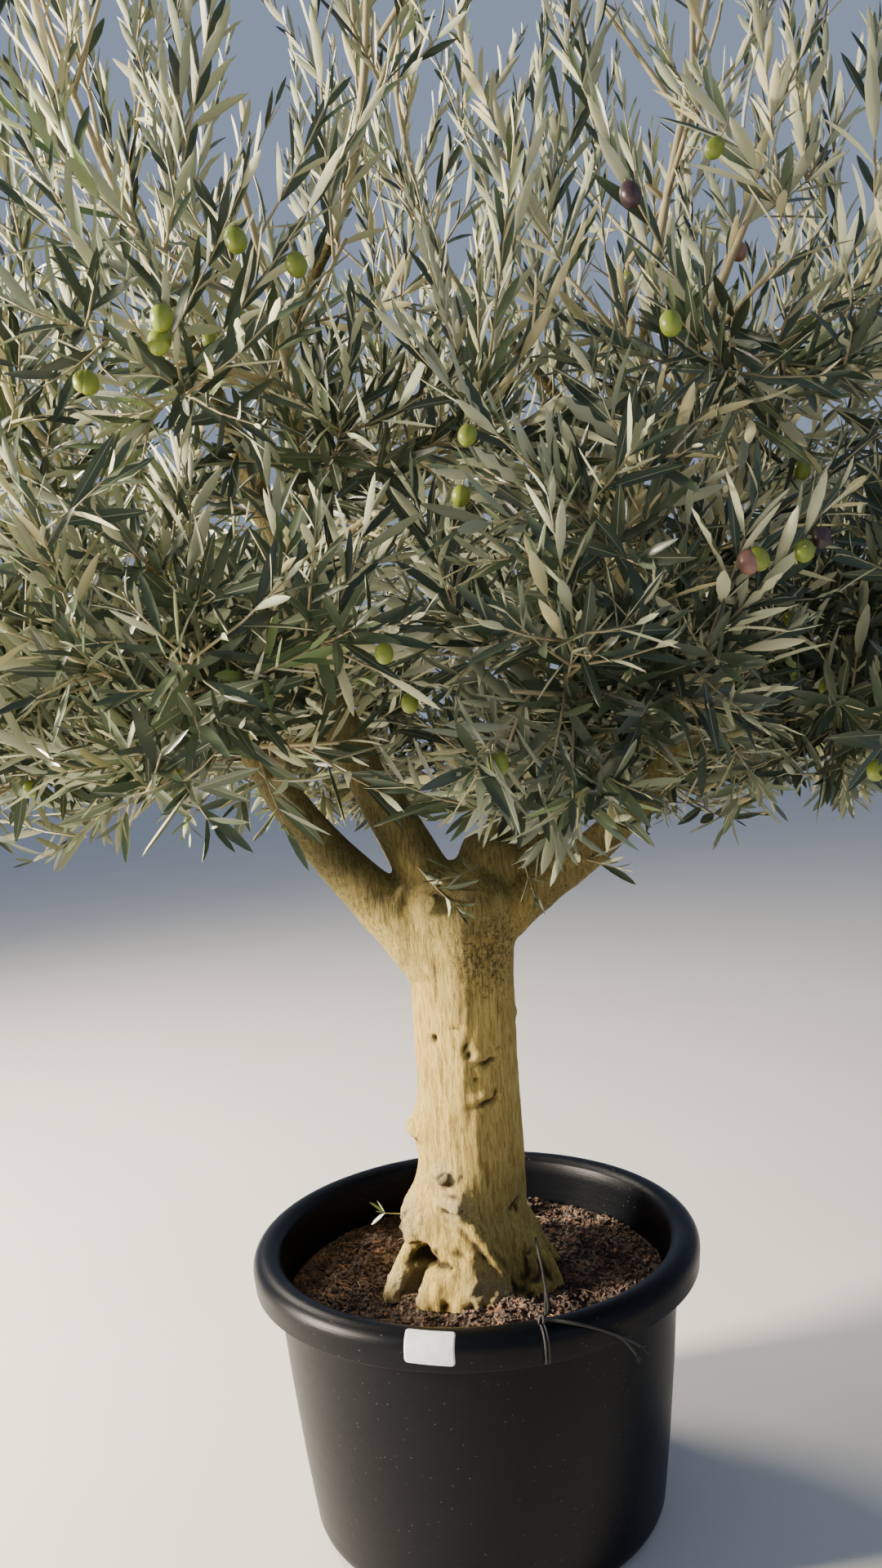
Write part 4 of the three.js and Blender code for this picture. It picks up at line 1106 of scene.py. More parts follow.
# %% The relief
def carve(piece, has_marks):
    """Presses the bark's relief into a skin."""
    mesh = piece.data
    places = eased(points_of(mesh), mesh) if has_marks else points_of(mesh)
    mesh.vertices.foreach_set("co", places.astype(np.float32).ravel())
    mesh.update()
    from_axis = np.hypot(places[:, 0] - TRUNK_LEAN * MM, places[:, 1])
    trunk_share = np.clip((1.06 - places[:, 2]) / 0.16, 0, 1) * np.clip((0.24 - from_axis) / 0.05, 0, 1)
    thick_share = 1 - np.clip((places[:, 2] - 1.2) / 0.5, 0, 0.8)
    crust = np.zeros(len(places))
    for bearing, height, reach in CRUSTS:
        across, up = surface_gaps(places, bearing, height)
        crust = np.maximum(crust, np.exp(-0.5 * (across**2 + up**2) / (0.7 * reach) ** 2))
    out = np.zeros(len(places))
    for i, (x, y, z) in enumerate(places):
        lumps = noise.noise(Vector((x * 22, y * 22, z * 13)))
        grains = noise.noise(Vector((x * 190, y * 190, z * 190)))
        out[i] = thick_share[i] * 0.8 * lumps + (0.45 + 2.6 * crust[i]) * thick_share[i] * grains
        if trunk_share[i] > 0:
            sway = noise.noise(Vector((x * 16, y * 16, z * 9))) * 1.3
            fissure = noise.noise(Vector((x * 112 + sway, y * 112 + sway, z * 17)))
            muscle = noise.noise(Vector((x * 30, y * 30, z * 5)))
            coarse = noise.noise(Vector((x * 85, y * 85, z * 80)))
            out[i] += trunk_share[i] * (1.5 * fissure + 2.4 * muscle + 4.6 * crust[i] * coarse)
    wound_and_shade = np.zeros(len(places))
    if has_marks:
        # Vector noise starts somewhere else in each run unless it is given a seed
        noise.seed_set(MARK_SWAY_SEED)
        waves = [Vector(place) * (1000 / MARK_SWAY_WAVE) for place in places]
        sway = np.array([noise.noise_vector(wave) for wave in waves]) * MARK_SWAY_MM
        # Painted shade for the shaded root and the gaps between the legs, and dark cracked bark, as patches
        # broken up by noise
        for bearing, height, reach in SHADE_AND_DARK_BARK_PATCHES:
            across, up = surface_gaps(places, bearing, height)
            swayed = (across + 3 * sway[:, 0]) ** 2 + (up + 3 * sway[:, 1]) ** 2
            shape = np.exp(-0.5 * swayed / (0.7 * reach) ** 2)
            wound_and_shade = np.maximum(wound_and_shade, shape * np.clip(0.62 + 0.14 * sway[:, 2], 0, 1))
        for bearing, height, long_half, wide_half, tilt, depth in MARKS:
            across, up = surface_gaps(places, bearing, height)
            across, up = across + sway[:, 0], up + sway[:, 1]
            c, s = math.cos(tilt * DEG), math.sin(tilt * DEG)
            along, aside = up * c + across * s, across * c - up * s
            shape = np.exp(-0.5 * ((along / long_half) ** 2 + (aside / wide_half) ** 2))
            out += depth * shape
            # A sunk mark darkens the bark: dark old wood at a knot, and painted shade in its hollow
            if depth < 0:
                wound_and_shade = np.maximum(wound_and_shade, shape * min(1, -depth / 6))
    places = places + points_of(mesh, "normal") * out[:, None] * MM
    places[:, 2] = np.maximum(places[:, 2], (TRUNK_FOOT - 6) * MM)
    mesh.vertices.foreach_set("co", places.astype(np.float32).ravel())
    for name, values in (("wound_and_shade", wound_and_shade), ("crust", crust)):
        mesh.attributes.new(name, "FLOAT", "POINT").data.foreach_set("value", values.astype(np.float32))
    mesh.update()
    mesh.shade_smooth()
    return out


for piece, has_marks in ((trunk_skin, True), (bough_skin, False)):
    relief = carve(piece, has_marks)
    print(piece.name, "relief from", round(relief.min(), 1), "to", round(relief.max(), 1), "mm")

# %% [markdown]
# ## The bark
#
# Olive bark of this age is a thin straw-coloured skin with fine wavy wrinkles 3 or 4 mm apart,
# never glossy. Algae tint the boughs and the head of the trunk olive green, and sooty mould leaves
# dark speckles below the fork. Height tells most of that story, so the colour runs from straw at
# the foot to green at the fork, and wrinkles, speckles and wounds are laid over it. The creases of
# the wrinkles, the hollows and a few shaded patches are darkened as painted shade.

# %% Olive bark: its tones
WRINKLE_MM = 4.2
SPECKLE_MM = 7
PATCH_MM = 90
CRUST_MM = 3.0303
BARK_GRAIN_MM = 2.0833

# Olive bark, grown and weathered: a dry matt skin, so only its relief and its stains are seen. Its
# creases and hollows carry painted shade
bark, bark_shader, places = new_material("weathered_olive_bark", IOR=1.45)
bark_shader.inputs["Specular IOR Level"].default_value = 0.3
height_of = add_node(bark, "SeparateXYZ", {"Vector": places})
patches = add_node(
    bark, "TexNoise", {"Vector": places, "Scale": scale_of(PATCH_MM), "Detail": 6, "Roughness": 0.6}
)
greening = add_node(
    bark, "MapRange",
    {"Value": height_of.outputs["Z"], "From Min": 0.72, "From Max": 1.08, "To Min": -0.3, "To Max": 0.42},
)
green_share = add_node(bark, "Math", {0: greening, 1: patches}, operation="ADD")
base_tone = add_node(
    bark, "ValToRGB", {"Fac": green_share},
    stops=[(0.12, "#dbc273"), (0.95, "#6a633e"), (0.3, "#d1b86c"), (0.5, "#b6a462"), (0.7, "#8d8151")],
)
drawn_out = add_node(bark, "Mapping", {"Vector": places, "Scale": (1, 1, 0.13)})
wrinkles = add_node(
    bark, "TexNoise",
    {"Vector": drawn_out, "Scale": scale_of(WRINKLE_MM), "Detail": 3, "Roughness": 0.6,
     "Distortion": 0.9},
)
# The low parts of the wrinkles are darkened, as painted shade in their creases
wrinkle_crease_shade = add_node(
    bark, "ValToRGB", {"Fac": wrinkles}, stops=[(0.32, "#8f8263"), (0.62, "#ffffff"), (0.46, "#d6ceb4")]
)
with_wrinkles = add_node(
    bark, "Mix", {"Factor": 0.8, "A": base_tone, "B": wrinkle_crease_shade}, data_type="RGBA", blend_type="MULTIPLY"
)
crusted = add_node(bark, "Attribute", {}, attribute_name="crust")
crust_grain = add_node(
    bark, "TexNoise", {"Vector": places, "Scale": scale_of(CRUST_MM), "Detail": 5, "Roughness": 0.8}
)
crust_tone = add_node(
    bark, "ValToRGB", {"Fac": crust_grain}, stops=[(0.32, "#7d6d4a"), (0.7, "#d8ca9f"), (0.5, "#b3a377")]
)
with_crust = add_node(
    bark, "Mix", {"Factor": crusted.outputs["Fac"], "A": with_wrinkles, "B": crust_tone}, data_type="RGBA"
)
print("wrinkles", WRINKLE_MM, "mm apart")

# %% Olive bark: mould, wounds and relief
MOULD_BEARING = 303
MOULD_HEIGHT = 880
mould_place = (np.array([TRUNK_LEAN, 0, MOULD_HEIGHT]) + heading(MOULD_BEARING, 0) * TRUNK_RADIUS) * MM
from_mould = add_node(bark, "VectorMath", {0: places, 1: Vector(mould_place)}, operation="DISTANCE")
near_mould = add_node(
    bark, "MapRange", {"Value": from_mould, "From Min": 0.1, "From Max": 0.03, "To Max": 0.17}
)
speckles = add_node(
    bark, "TexNoise", {"Vector": places, "Scale": scale_of(SPECKLE_MM), "Detail": 5, "Roughness": 0.8}
)
speckle_sum = add_node(bark, "Math", {0: speckles, 1: near_mould}, operation="ADD")
speckle_share = add_node(
    bark, "MapRange", {"Value": speckle_sum, "From Min": 0.64, "From Max": 0.72, "To Max": 0.8}
)
with_mould = add_node(
    bark, "Mix", {"Factor": speckle_share, "A": with_crust, "B": linear("#3d3829")}, data_type="RGBA"
)
# Darkened where a point lies in a wound, a hollow or a shaded patch: dark old wood, and painted shade
wound_and_shade_attribute = add_node(bark, "Attribute", {}, attribute_name="wound_and_shade")
wound_and_shade_share = add_node(
    bark, "MapRange", {"Value": wound_and_shade_attribute.outputs["Fac"], "From Min": 0.25, "From Max": 0.8, "To Max": 0.9}
)
bark_colour = add_node(
    bark, "Mix", {"Factor": wound_and_shade_share, "A": with_mould, "B": linear("#2c2418")}, data_type="RGBA"
)
grain = add_node(
    bark, "TexNoise", {"Vector": places, "Scale": scale_of(BARK_GRAIN_MM), "Detail": 5, "Roughness": 0.7}
)
bark_heights = add_node(bark, "Math", {0: wrinkles, 1: 0.75, 2: grain}, operation="MULTIPLY_ADD")
bark_bump = add_node(bark, "Bump", {"Height": bark_heights, "Strength": 1.0, "Distance": 0.005})
bark_roughness = add_node(bark, "MapRange", {"Value": grain, "To Min": 0.72, "To Max": 0.94})
feed(bark, bark_shader, Base_Color=bark_colour, Roughness=bark_roughness, Normal=bark_bump)
for piece, stands_for, slot in (
    (trunk_skin, ("trunk", "bough_"), "bark"),
    (bough_skin, ("limb_",), "bough_bark"),
):
    piece.data.materials.append(bark)
    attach(piece, BODY)
    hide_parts(*(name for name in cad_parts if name.startswith(stands_for)))
graph = bpy.context.evaluated_depsgraph_get()
wood_trees = [BVHTree.FromObject(piece, graph) for piece in (trunk_skin, bough_skin)]
print("bark on", trunk_skin.name, "and", bough_skin.name)

# %% [markdown]
# ## Shoots
#
# Each spray of the rule becomes a leafy shoot, a little shorter than the spray, so that its last
# leaves end where the spray ends. Between the shoots there is still room, which the living tree
# fills with side shoots. They follow the same rule once more: of a few tries, each goes where
# there is most room within the crown's reach. The top of the crown stays open, with tall shoots
# that stand apart, and the shaded inside stays bare, so both ask for more room than the rest.
#
# A crown also has openings that no rule finds. Where the photograph shows one, it is noted in the
# picture's pixels. In most of them only a share of the shoots stays, however far from the eye they
# are. In those before the fork the wood shows, so there only what is nearer than the wood goes.

# %% Openings in the crown
# The middle and half size of each opening in pixels, the share of shoots that stay, and how far
# from the eye it reaches
OPENINGS_THROUGH = [
    (140, 1050, 230, 92, 0.1), (655, 825, 62, 32, 0.15), (262, 100, 28, 140, 0.08),
    (400, 50, 24, 120, 0.08), (558, 90, 42, 150, 0.06), (805, 100, 30, 140, 0.08),
    (1050, 110, 32, 120, 0.1), (130, 40, 20, 100, 0.1), (540, 60, 700, 250, 0.62),
]
OPENINGS_BEFORE_WOOD = [
    (375, 990, 135, 92, 0.06, 1950), (450, 945, 70, 100, 0.07, 1880),
    (560, 1068, 135, 46, 0.14, 1900), (715, 1055, 90, 42, 0.14, 1900),
]
OPENINGS = [(*opening, math.inf) for opening in OPENINGS_THROUGH] + OPENINGS_BEFORE_WOOD
# Where along a shoot it is tested for an opening
CROSSING_SHARES = (0.25, 0.6, 1)
SIDE_SEED = 71
draw = seeded(SIDE_SEED)
eye = np.array(EYE) / MM


def on_picture(p):
    """Where a place shows in the photograph, in its pixels, and how far it is from the eye."""
    from_eye = p - eye
    depth = from_eye @ np.array(ahead)
    across = PHOTO_WIDTH / 2 + FOCAL_LENGTH_PIXELS * (from_eye @ np.array(picture_right)) / depth
    down = PHOTO_HEIGHT / 2 + FOCAL_LENGTH_PIXELS * (from_eye @ np.array(picture_down)) / depth
    return across, down, depth


def in_opening(p, openings):
    """The share of shoots that stay in the opening where a place is, or nothing."""
    across, down, depth = on_picture(p)
    for middle, middle_down, half, half_down, kept, reach in openings:
        if ((across - middle) / half) ** 2 + ((down - middle_down) / half_down) ** 2 < 1 and depth < reach:
            return kept
    return None


def stays(root, tip):
    """Whether a shoot stays, or is left out for an opening that it crosses."""
    for share in CROSSING_SHARES:
        kept = in_opening(mix(root, tip, share), OPENINGS)
        if kept is not None:
            return draw() < kept
    return True


print("openings:", len(OPENINGS))

# %% A shoot and its tint
LEAF_REACH = 40
SHOOT_RADII = (1.9, 0.8)
SHOOT_SAG = 0.07
TINT_SHARES = (0.35, 0.28, 0.2, 0.155, 0.015)
BOW_STEPS = 8
LEAST_BOW = 0.5


def shoot_from(root, tip, tint, habit):
    """A shoot sets out a little lower than it ends, as it turns to the light."""
    sag = SHOOT_SAG * np.linalg.norm(tip - root)
    line = Line(bend(root, mix(root, tip, 0.5) - UP * sag, tip))
    crosses = in_opening(tip, OPENINGS_BEFORE_WOOD) is not None
    return dict(line=line, tint=tint, habit=habit, crosses=crosses)


def tint_for(draw):
    """Colours are dealt out by shoot: most are grey-green, a few fresh or yellowing."""
    share = draw()
    for tint, part in enumerate(TINT_SHARES):
        if share < part:
            return tint
        share -= part
    return 0


def bowed_line(line):
    """A line moved with the low bough where it is near it."""
    points = [line.at(share)[0] for share in even_shares(0, 1, BOW_STEPS)]
    moved = [bowed(point) for point in points]
    return Line(moved) if np.linalg.norm(np.array(moved) - points, axis=1).max() > LEAST_BOW else line


print("tints:", len(TINT_SHARES))

# %% Main shoots
BEARS_WITHIN = 4


def distance_from_stretch(places, a, b):
    """How far each place is from the straight stretch between two points."""
    share = np.clip((places - a) @ (b - a) / ((b - a) @ (b - a)), 0, 1)
    return np.linalg.norm(places - a - share[:, None] * (b - a), axis=1)


shoots = []
hosts = []
for mass in masses:
    g = grown[mass["name"]]
    habit = mass["name"].split("_")[0]
    for spray in g["sprays"]:
        reach = max(0.5, 1 - LEAF_REACH / spray["length"])
        tip = mix(spray["root"], spray["tip"], reach)
        shoot = shoot_from(bowed(spray["root"]), tip, tint_for(draw), habit)
        if stays(spray["root"], spray["tip"]):
            shoots.append(shoot)
            hosts.append((shoot["line"], habit, mass["lift"]))
    roots = np.array([shoot["line"].at(0)[0] for shoot in shoots])
    for twig in g["twigs"]:
        bears = distance_from_stretch(roots, twig["root"], twig["tip"]).min() < BEARS_WITHIN
        twig["stays"] = bears or in_opening(twig["tip"], OPENINGS) is None
        twig["line"] = bowed_line(Line([twig["root"], twig["tip"]]))
        if twig["stays"]:
            hosts.append((twig["line"], habit, mass["lift"]))
    hosts += [(g["stem"], habit, mass["lift"])] * 2
main_shoots = len(shoots)
print("main shoots:", main_shoots)

# %% Side shoots
SIDE_SHOOTS = 2700
SIDE_TRIES = 7
# How side shoots leave in each habit: the span of their angles and of their lift
SIDE_HABITS = {
    "lower": ((32, 66), (0.15, 0.6)), "middle": ((28, 60), (0.4, 0.9)), "upper": ((16, 42), (0.7, 1.3)),
    "centre": ((22, 50), (0.5, 1.0)), "top": ((14, 38), (0.8, 1.4)),
}
SIDE_LENGTHS = (60, 160)
SIDE_LEAST = 26
SHOOT_HALVINGS = 10
ROOM_LEAST = 27
ROOM_LEAST_ABOVE = 110
ROOM_LEAST_INSIDE = 42
OPENING_HEIGHTS = (1480, 1850)
INSIDE = 0.16
MOST_IN_GAPS = 5000


def share_above(height):
    """How far a height is on its way from the closed crown to the open top, from 0 to 1."""
    low, high = OPENING_HEIGHTS
    return min(1, max(0, (height - low) / (high - low)))


def room_needed(p):
    """The least room that a side shoot asks for at a place."""
    least = mix(ROOM_LEAST, ROOM_LEAST_ABOVE, share_above(p[2]))
    return max(least, ROOM_LEAST_INSIDE) if crown_measure(p) < INSIDE else least


weights = np.cumsum([host[0].length for host in hosts])
middles = np.zeros((len(shoots) + SIDE_SHOOTS + MOST_IN_GAPS, 3))
middles[: len(shoots)] = [shoot["line"].at(0.5)[0] for shoot in shoots]
for _ in range(SIDE_SHOOTS):
    best = None
    for _ in range(SIDE_TRIES):
        host, habit, lift = hosts[int(np.searchsorted(weights, draw() * weights[-1]))]
        root, along = host.at(mix(0.08, 0.92, draw()))
        angles, lifts = SIDE_HABITS[habit]
        angle = mix(*angles, draw()) * DEG
        round_it = math.tau * draw()
        direction = turned_from(along, angle, round_it, lift * mix(*lifts, draw()))
        full = mix(*SIDE_LENGTHS, draw())
        middle = root + direction * (full / 2)
        room = math.sqrt(((middles[: len(shoots)] - middle) ** 2).sum(1).min())
        if room < room_needed(middle) or (best and room < best[0]):
            continue
        length = reach_along(root, direction, full + LEAF_REACH, SHOOT_HALVINGS) - LEAF_REACH
        if length > SIDE_LEAST:
            best = (room, root, root + direction * length, habit)
    if best and stays(best[1], best[2]):
        middles[len(shoots)] = mix(best[1], best[2], 0.5)
        shoots.append(shoot_from(best[1], best[2], tint_for(draw), best[3]))
print("side shoots:", len(shoots) - main_shoots)

# %% [markdown]
# Between the masses there are still gaps, because the rule fills each mass and not the whole crown.
# A living tree sends water shoots from its boughs into such light. So points are tried all over
# the crown's reach, and where the nearest shoot is far, a long shoot grows there from the nearest
# wood below.

# %% Shoots into the gaps
GAP_ROOM = 80
GAP_ROOM_ABOVE = 112
GAP_LENGTHS = (80, 390)
GAP_OVERSHOOT = 0.3
GAP_HEIGHTS = (1150, 2400)
GAP_EDGE = 0.92
BARE_SHARE = 0.35
# How steeply a gap shoot rises at least, low in the crown and at its top
LEAST_RISE = (-0.1, 0.85)
CROWN_HALF = 900

wood_hosts = [bowed_line(line) for line, _ in [*boughs.values(), *limbs.values()]]
host_points = np.concatenate([
    [host.at(share)[0] for share in even_shares(BARE_SHARE, 1, 12)] for host in wood_hosts
] + [[host[0].at(share)[0] for share in (0.2, 0.5, 0.8)] for host in hosts])
side_shoots = len(shoots)
for _ in range(MOST_IN_GAPS):
    spans = ((-CROWN_HALF, CROWN_HALF), (-CROWN_HALF, CROWN_HALF), GAP_HEIGHTS)
    aim = np.array([mix(*span, draw()) for span in spans])
    if crown_measure(aim) > GAP_EDGE or in_opening(aim, OPENINGS_BEFORE_WOOD):
        continue
    above = share_above(aim[2])
    if ((middles[: len(shoots)] - aim) ** 2).sum(1).min() < mix(GAP_ROOM, GAP_ROOM_ABOVE, above) ** 2:
        continue
    away = np.linalg.norm(host_points - aim, axis=1)
    rise = (aim - host_points)[:, 2] / away
    away = np.where((rise < mix(*LEAST_RISE, above)) | (away < GAP_LENGTHS[0]), math.inf, away)
    nearest = int(np.argmin(away))
    if away[nearest] > GAP_LENGTHS[1]:
        continue
    root = host_points[nearest]
    direction = unit(aim - root)
    full = away[nearest] * (1 + GAP_OVERSHOOT)
    length = reach_along(root, direction, full + LEAF_REACH, SHOOT_HALVINGS) - LEAF_REACH
    tip = root + direction * length
    if length > SIDE_LEAST and stays(root, tip):
        middles[len(shoots)] = mix(root, tip, 0.6)
        habit = "upper" if above > 0 else "middle"
        shoots.append(shoot_from(root, tip, tint_for(draw), habit))
print("shoots into gaps:", len(shoots) - side_shoots)

# %% [markdown]
# Young wood also breaks straight from the bark of old boughs. A few such sprigs hang before the
# boughs near the fork, and the photograph shows where: each starts where the line of sight through
# its foot meets the bark.

# %% Sprigs on the bark
# The pixels where a sprig leaves its bough and where it ends, and how far it comes forward. Those
# leaves are meant to show before the wood, so they are kept in the openings there
BARK_SPRIGS = [
    ((335, 1000), (248, 1040), 40), ((445, 1020), (480, 1078), 60), ((512, 1062), (560, 1112), 50),
    ((690, 1040), (752, 1062), 45), ((585, 1062), (535, 1078), 70), ((640, 1050), (655, 1098), 60),
]
for foot_at, end_at, forward in BARK_SPRIGS:
    sight = line_of_sight(*foot_at)
    hits = [tree.ray_cast(Vector(EYE), sight) for tree in wood_trees]
    reached = [distance for place, _, _, distance in hits if place]
    if reached:
        root = eye + np.array(sight) * (min(reached) / MM)
        end_sight = np.array(line_of_sight(*end_at))
        tip = eye + end_sight * ((on_picture(root)[2] - forward) / (end_sight @ np.array(ahead)))
        sprig = shoot_from(root, tip, tint_for(draw), "centre")
        sprig["crosses"] = True
        shoots.append(sprig)
        print("sprig on the bark:", round(float(np.linalg.norm(tip - root))), "mm")

# %% [markdown]
# ## Leaves
#
# An olive leaf is a narrow lance 5 to 7 cm long. It is leathery: the upper side is grey-green and
# slightly glossy with a pale sunk midrib, the underside is silvery with fine scales, and the two
# halves fold up a little along the midrib. Leaves stand in opposite pairs, each pair square to the
# last. Each leaf here is a closed little solid of a few faces in the leaf's own outline, so it
# shows the right side from wherever it is seen.

# %% The outline of a leaf
LONG_STATIONS = ((0.1, 0.42), (0.34, 0.92), (0.64, 0.96), (0.88, 0.5))
SHORT_STATIONS = ((0.3, 0.88), (0.72, 0.82))
LEAF_FOLD = 0.13
KEEL = 0.07
RIB_HALF = 0.03
UPPER, UNDER, RIB = 0, 1, 2


def leaf_template(stations, has_rib):
    """Points in shares of length and width, faces with their kind, and the pairs on the rim."""
    points, faces = [(0, 0, 0)], []
    for along, half in stations:
        fold = LEAF_FOLD * half
        inner = [(along, RIB_HALF, 0), (along, -RIB_HALF, 0)] if has_rib else [(along, 0, 0)]
        points += [(along, half / 2, fold), *inner, (along, -half / 2, fold), (along, 0, -KEEL)]
    tip = len(points)
    points.append((1, 0, 0.02))
    width = 5 if has_rib else 4
    right = 3 if has_rib else 2
    inner = 2 if has_rib else 1
    bands = [(0, 1, UPPER), (inner, right, UPPER), (width - 1, 0, UNDER), (right, width - 1, UNDER)]
    if has_rib:
        bands.append((1, 2, RIB))
    for first, second, kind in bands:
        a, b = 1 + first, 1 + second
        faces.append(((0, b, a), kind))
        for step in range(len(stations) - 1):
            here, there = step * width, (step + 1) * width
            faces.append(((a + here, b + here, b + there, a + there), kind))
        last = (len(stations) - 1) * width
        faces.append(((a + last, b + last, tip), kind))
    rim = set()
    for side in (1, 1 + right):
        stops = [0, *(side + step * width for step in range(len(stations))), tip]
        rim |= {tuple(sorted(pair)) for pair in zip(stops, stops[1:])}
    return np.array(points, float), faces, rim


# The least length of each kind of leaf, longest first, and its template
LEAF_KINDS = [
    (72, leaf_template(LONG_STATIONS, True)), (44, leaf_template(LONG_STATIONS, False)),
    (0, leaf_template(SHORT_STATIONS, False)),
]
print("faces of each kind of leaf:", [len(template[1]) for _, template in LEAF_KINDS])

# %% Where the leaves stand
NODE_SPACING = (21, 28)
# The leaves of each habit: how far the pairs are apart, the span of lengths, and how wide they
# open at the foot of a shoot and at its tip
LEAF_HABITS = {
    "lower": (1, (56, 80), (60, 26)), "middle": (1, (54, 76), (50, 22)), "upper": (1.18, (44, 64), (30, 13)),
    "centre": (1.05, (50, 70), (44, 19)), "top": (1.2, (42, 60), (28, 12)),
}
FIRST_NODE = 14
LONGEST_LEAF = 86
LEAF_SLIMNESS = (0.145, 0.19)
LEAF_MISSING = 0.07
LEAF_LIFT = 0.18
LEAF_SEED = 5


def unit_rows(v):
    """Each row of an array at length 1."""
    return v / np.linalg.norm(v, axis=1)[:, None]


def nodes_of(some_shoots, rng):
    """A row for each leaf: place, direction of the shoot, turn, opening, length, tint and crossing."""
    rows = []
    for shoot in some_shoots:
        line = shoot["line"]
        apart, lengths, (wide, narrow) = LEAF_HABITS[shoot["habit"]]
        size = rng.uniform(*lengths)
        turn = rng.uniform(0, math.pi)
        reached = min(FIRST_NODE * rng.uniform(0.7, 1.4), 0.5 * line.length)
        while reached < 2 * line.length:
            share = min(1, reached / line.length)
            point, along = line.at(share)
            full = size * (0.76 + 0.5 * math.sin(math.pi * min(1, 0.15 + 0.8 * share)) - 0.34 * share)
            for half_turn in (0, math.pi):
                if rng.random() > LEAF_MISSING:
                    leaf = (turn + half_turn, mix(wide, narrow, share), full, shoot["tint"], shoot["crosses"])
                    rows.append((*point, *along, *leaf))
            turn += math.pi / 2 + rng.normal(0, 0.2)
            reached += rng.uniform(*NODE_SPACING) * apart * mix(1.05, 0.8, share)
            if share == 1:
                reached = math.inf
            elif reached > line.length - 7:
                reached = line.length
    return np.array(rows)


def leaves_from(table, rng):
    """Arrays that place each leaf, and say its tint and whether it may show before the wood."""
    count = len(table)
    root, along, turn, opening, full, tint, crosses = table[:, :3], table[:, 3:6], *table[:, 6:].T
    spare = np.where(np.abs(along[:, 2:]) < 0.9, UP, [1.0, 0, 0])
    side = unit_rows(np.cross(spare, along))
    other = np.cross(along, side)
    turn = turn + rng.normal(0, 0.22, count)
    aside = side * np.cos(turn)[:, None] + other * np.sin(turn)[:, None]
    angle = opening * DEG * rng.uniform(0.75, 1.25, count)
    out = unit_rows(along * np.cos(angle)[:, None] + aside * np.sin(angle)[:, None] + UP * LEAF_LIFT)
    upper = unit_rows(along - out * (along * out).sum(1)[:, None] + 1e-6)
    levelness = 1 - np.abs(along[:, 2])
    upwards = UP - out * out[:, 2:]
    upper = upper + upwards * (rng.uniform(0.1, 0.9, count) * levelness)[:, None]
    upper = upper + np.cross(out, upper) * rng.normal(0, 0.3, count)[:, None]
    upper = unit_rows(upper - out * (upper * out).sum(1)[:, None])
    length = np.minimum(full * rng.uniform(0.86, 1.12, count), LONGEST_LEAF)
    return dict(
        root=root, out=out, upper=upper, length=length, width=length * rng.uniform(*LEAF_SLIMNESS, count),
        bend=rng.normal(-0.05, 0.07, count), twist=rng.normal(0, 0.28, count), tint=tint.astype(int),
        crosses=crosses > 0,
    )


leaf_rng = np.random.default_rng(LEAF_SEED)
leaves = leaves_from(nodes_of(shoots, leaf_rng), leaf_rng)
print("leaves:", len(leaves["root"]))

# %% Leaves that fit
WOOD_CLEARANCE = 6
TESTED_SHARES = (0.55, 0.95)
TIP_REACH = 1.05
OPENING_LEAVES = 0.05


def picked(some_leaves, choice):
    """Some of the leaves, by number or by a test."""
    return {name: values[choice] for name, values in some_leaves.items()}


tips = leaves["root"] + leaves["out"] * leaves["length"][:, None]
fits = np.array([crown_measure(tip) < TIP_REACH for tip in tips]) | leaves["crosses"]
for i in np.flatnonzero(fits):
    for share in TESTED_SHARES:
        place = Vector(mix(leaves["root"][i], tips[i], share) * MM)
        if any(tree.find_nearest(place, WOOD_CLEARANCE * MM)[0] is not None for tree in wood_trees):
            fits[i] = False
        if leaf_rng.random() > OPENING_LEAVES and not leaves["crosses"][i]:
            fits[i] = fits[i] and not in_opening(mix(leaves["root"][i], tips[i], 0.5), OPENINGS_BEFORE_WOOD)
leaves = picked(leaves, fits)
print("leaves that fit:", fits.sum())

# %% [markdown]
# The colours of leaves are plain, and what varies is which shoot has which: the export keeps plain
# colours as they are, while a pattern on so many small faces would be lost. Only the gloss is
# drawn by noise. A cuticle of wax makes the upper side glossier than the scaly underside.

# %% Leaf materials
# Grown olive leaf: a waxy cuticle gives its upper side a dull shine, and a felt of scales keeps its
# underside pale and matt. The last two pairs are fresh leaves and yellowing ones
LEAF_GREENS = ["#3b4634", "#44513b", "#323c2d", "#536044", "#657a46"]
LEAF_SILVERS = ["#a3a88b", "#b3b494", "#949b81", "#bfb88d", "#a0ae7f"]
UPPER_GLOSS = (0.24, 0.4)
UNDER_GLOSS = (0.6, 0.8)
LEAF_IOR = 1.45
leaf_materials = []


def leaf_skin(name, colour, gloss, pattern_mm):
    """The skin of a leaf: a plain colour, with a gloss that varies a little."""
    surface, shader, places = new_material(name, Base_Color=linear(colour), IOR=LEAF_IOR)
    wax = add_node(surface, "TexNoise", {"Vector": places, "Scale": scale_of(pattern_mm), "Detail": 3})
    rough = add_node(surface, "MapRange", {"Value": wax, "To Min": gloss[0], "To Max": gloss[1]})
    feed(surface, shader, Roughness=rough)
    leaf_materials.append(surface)


for tint, (green, silver) in enumerate(zip(LEAF_GREENS, LEAF_SILVERS)):
    leaf_skin(f"olive_leaf_waxy_upper_{tint}", green, UPPER_GLOSS, 6)
    leaf_skin(f"olive_leaf_scaly_underside_{tint}", silver, UNDER_GLOSS, 3)
leaf_skin("olive_leaf_midrib", "#8a8f72", UNDER_GLOSS, 3)
print("leaf materials:", len(leaf_materials))


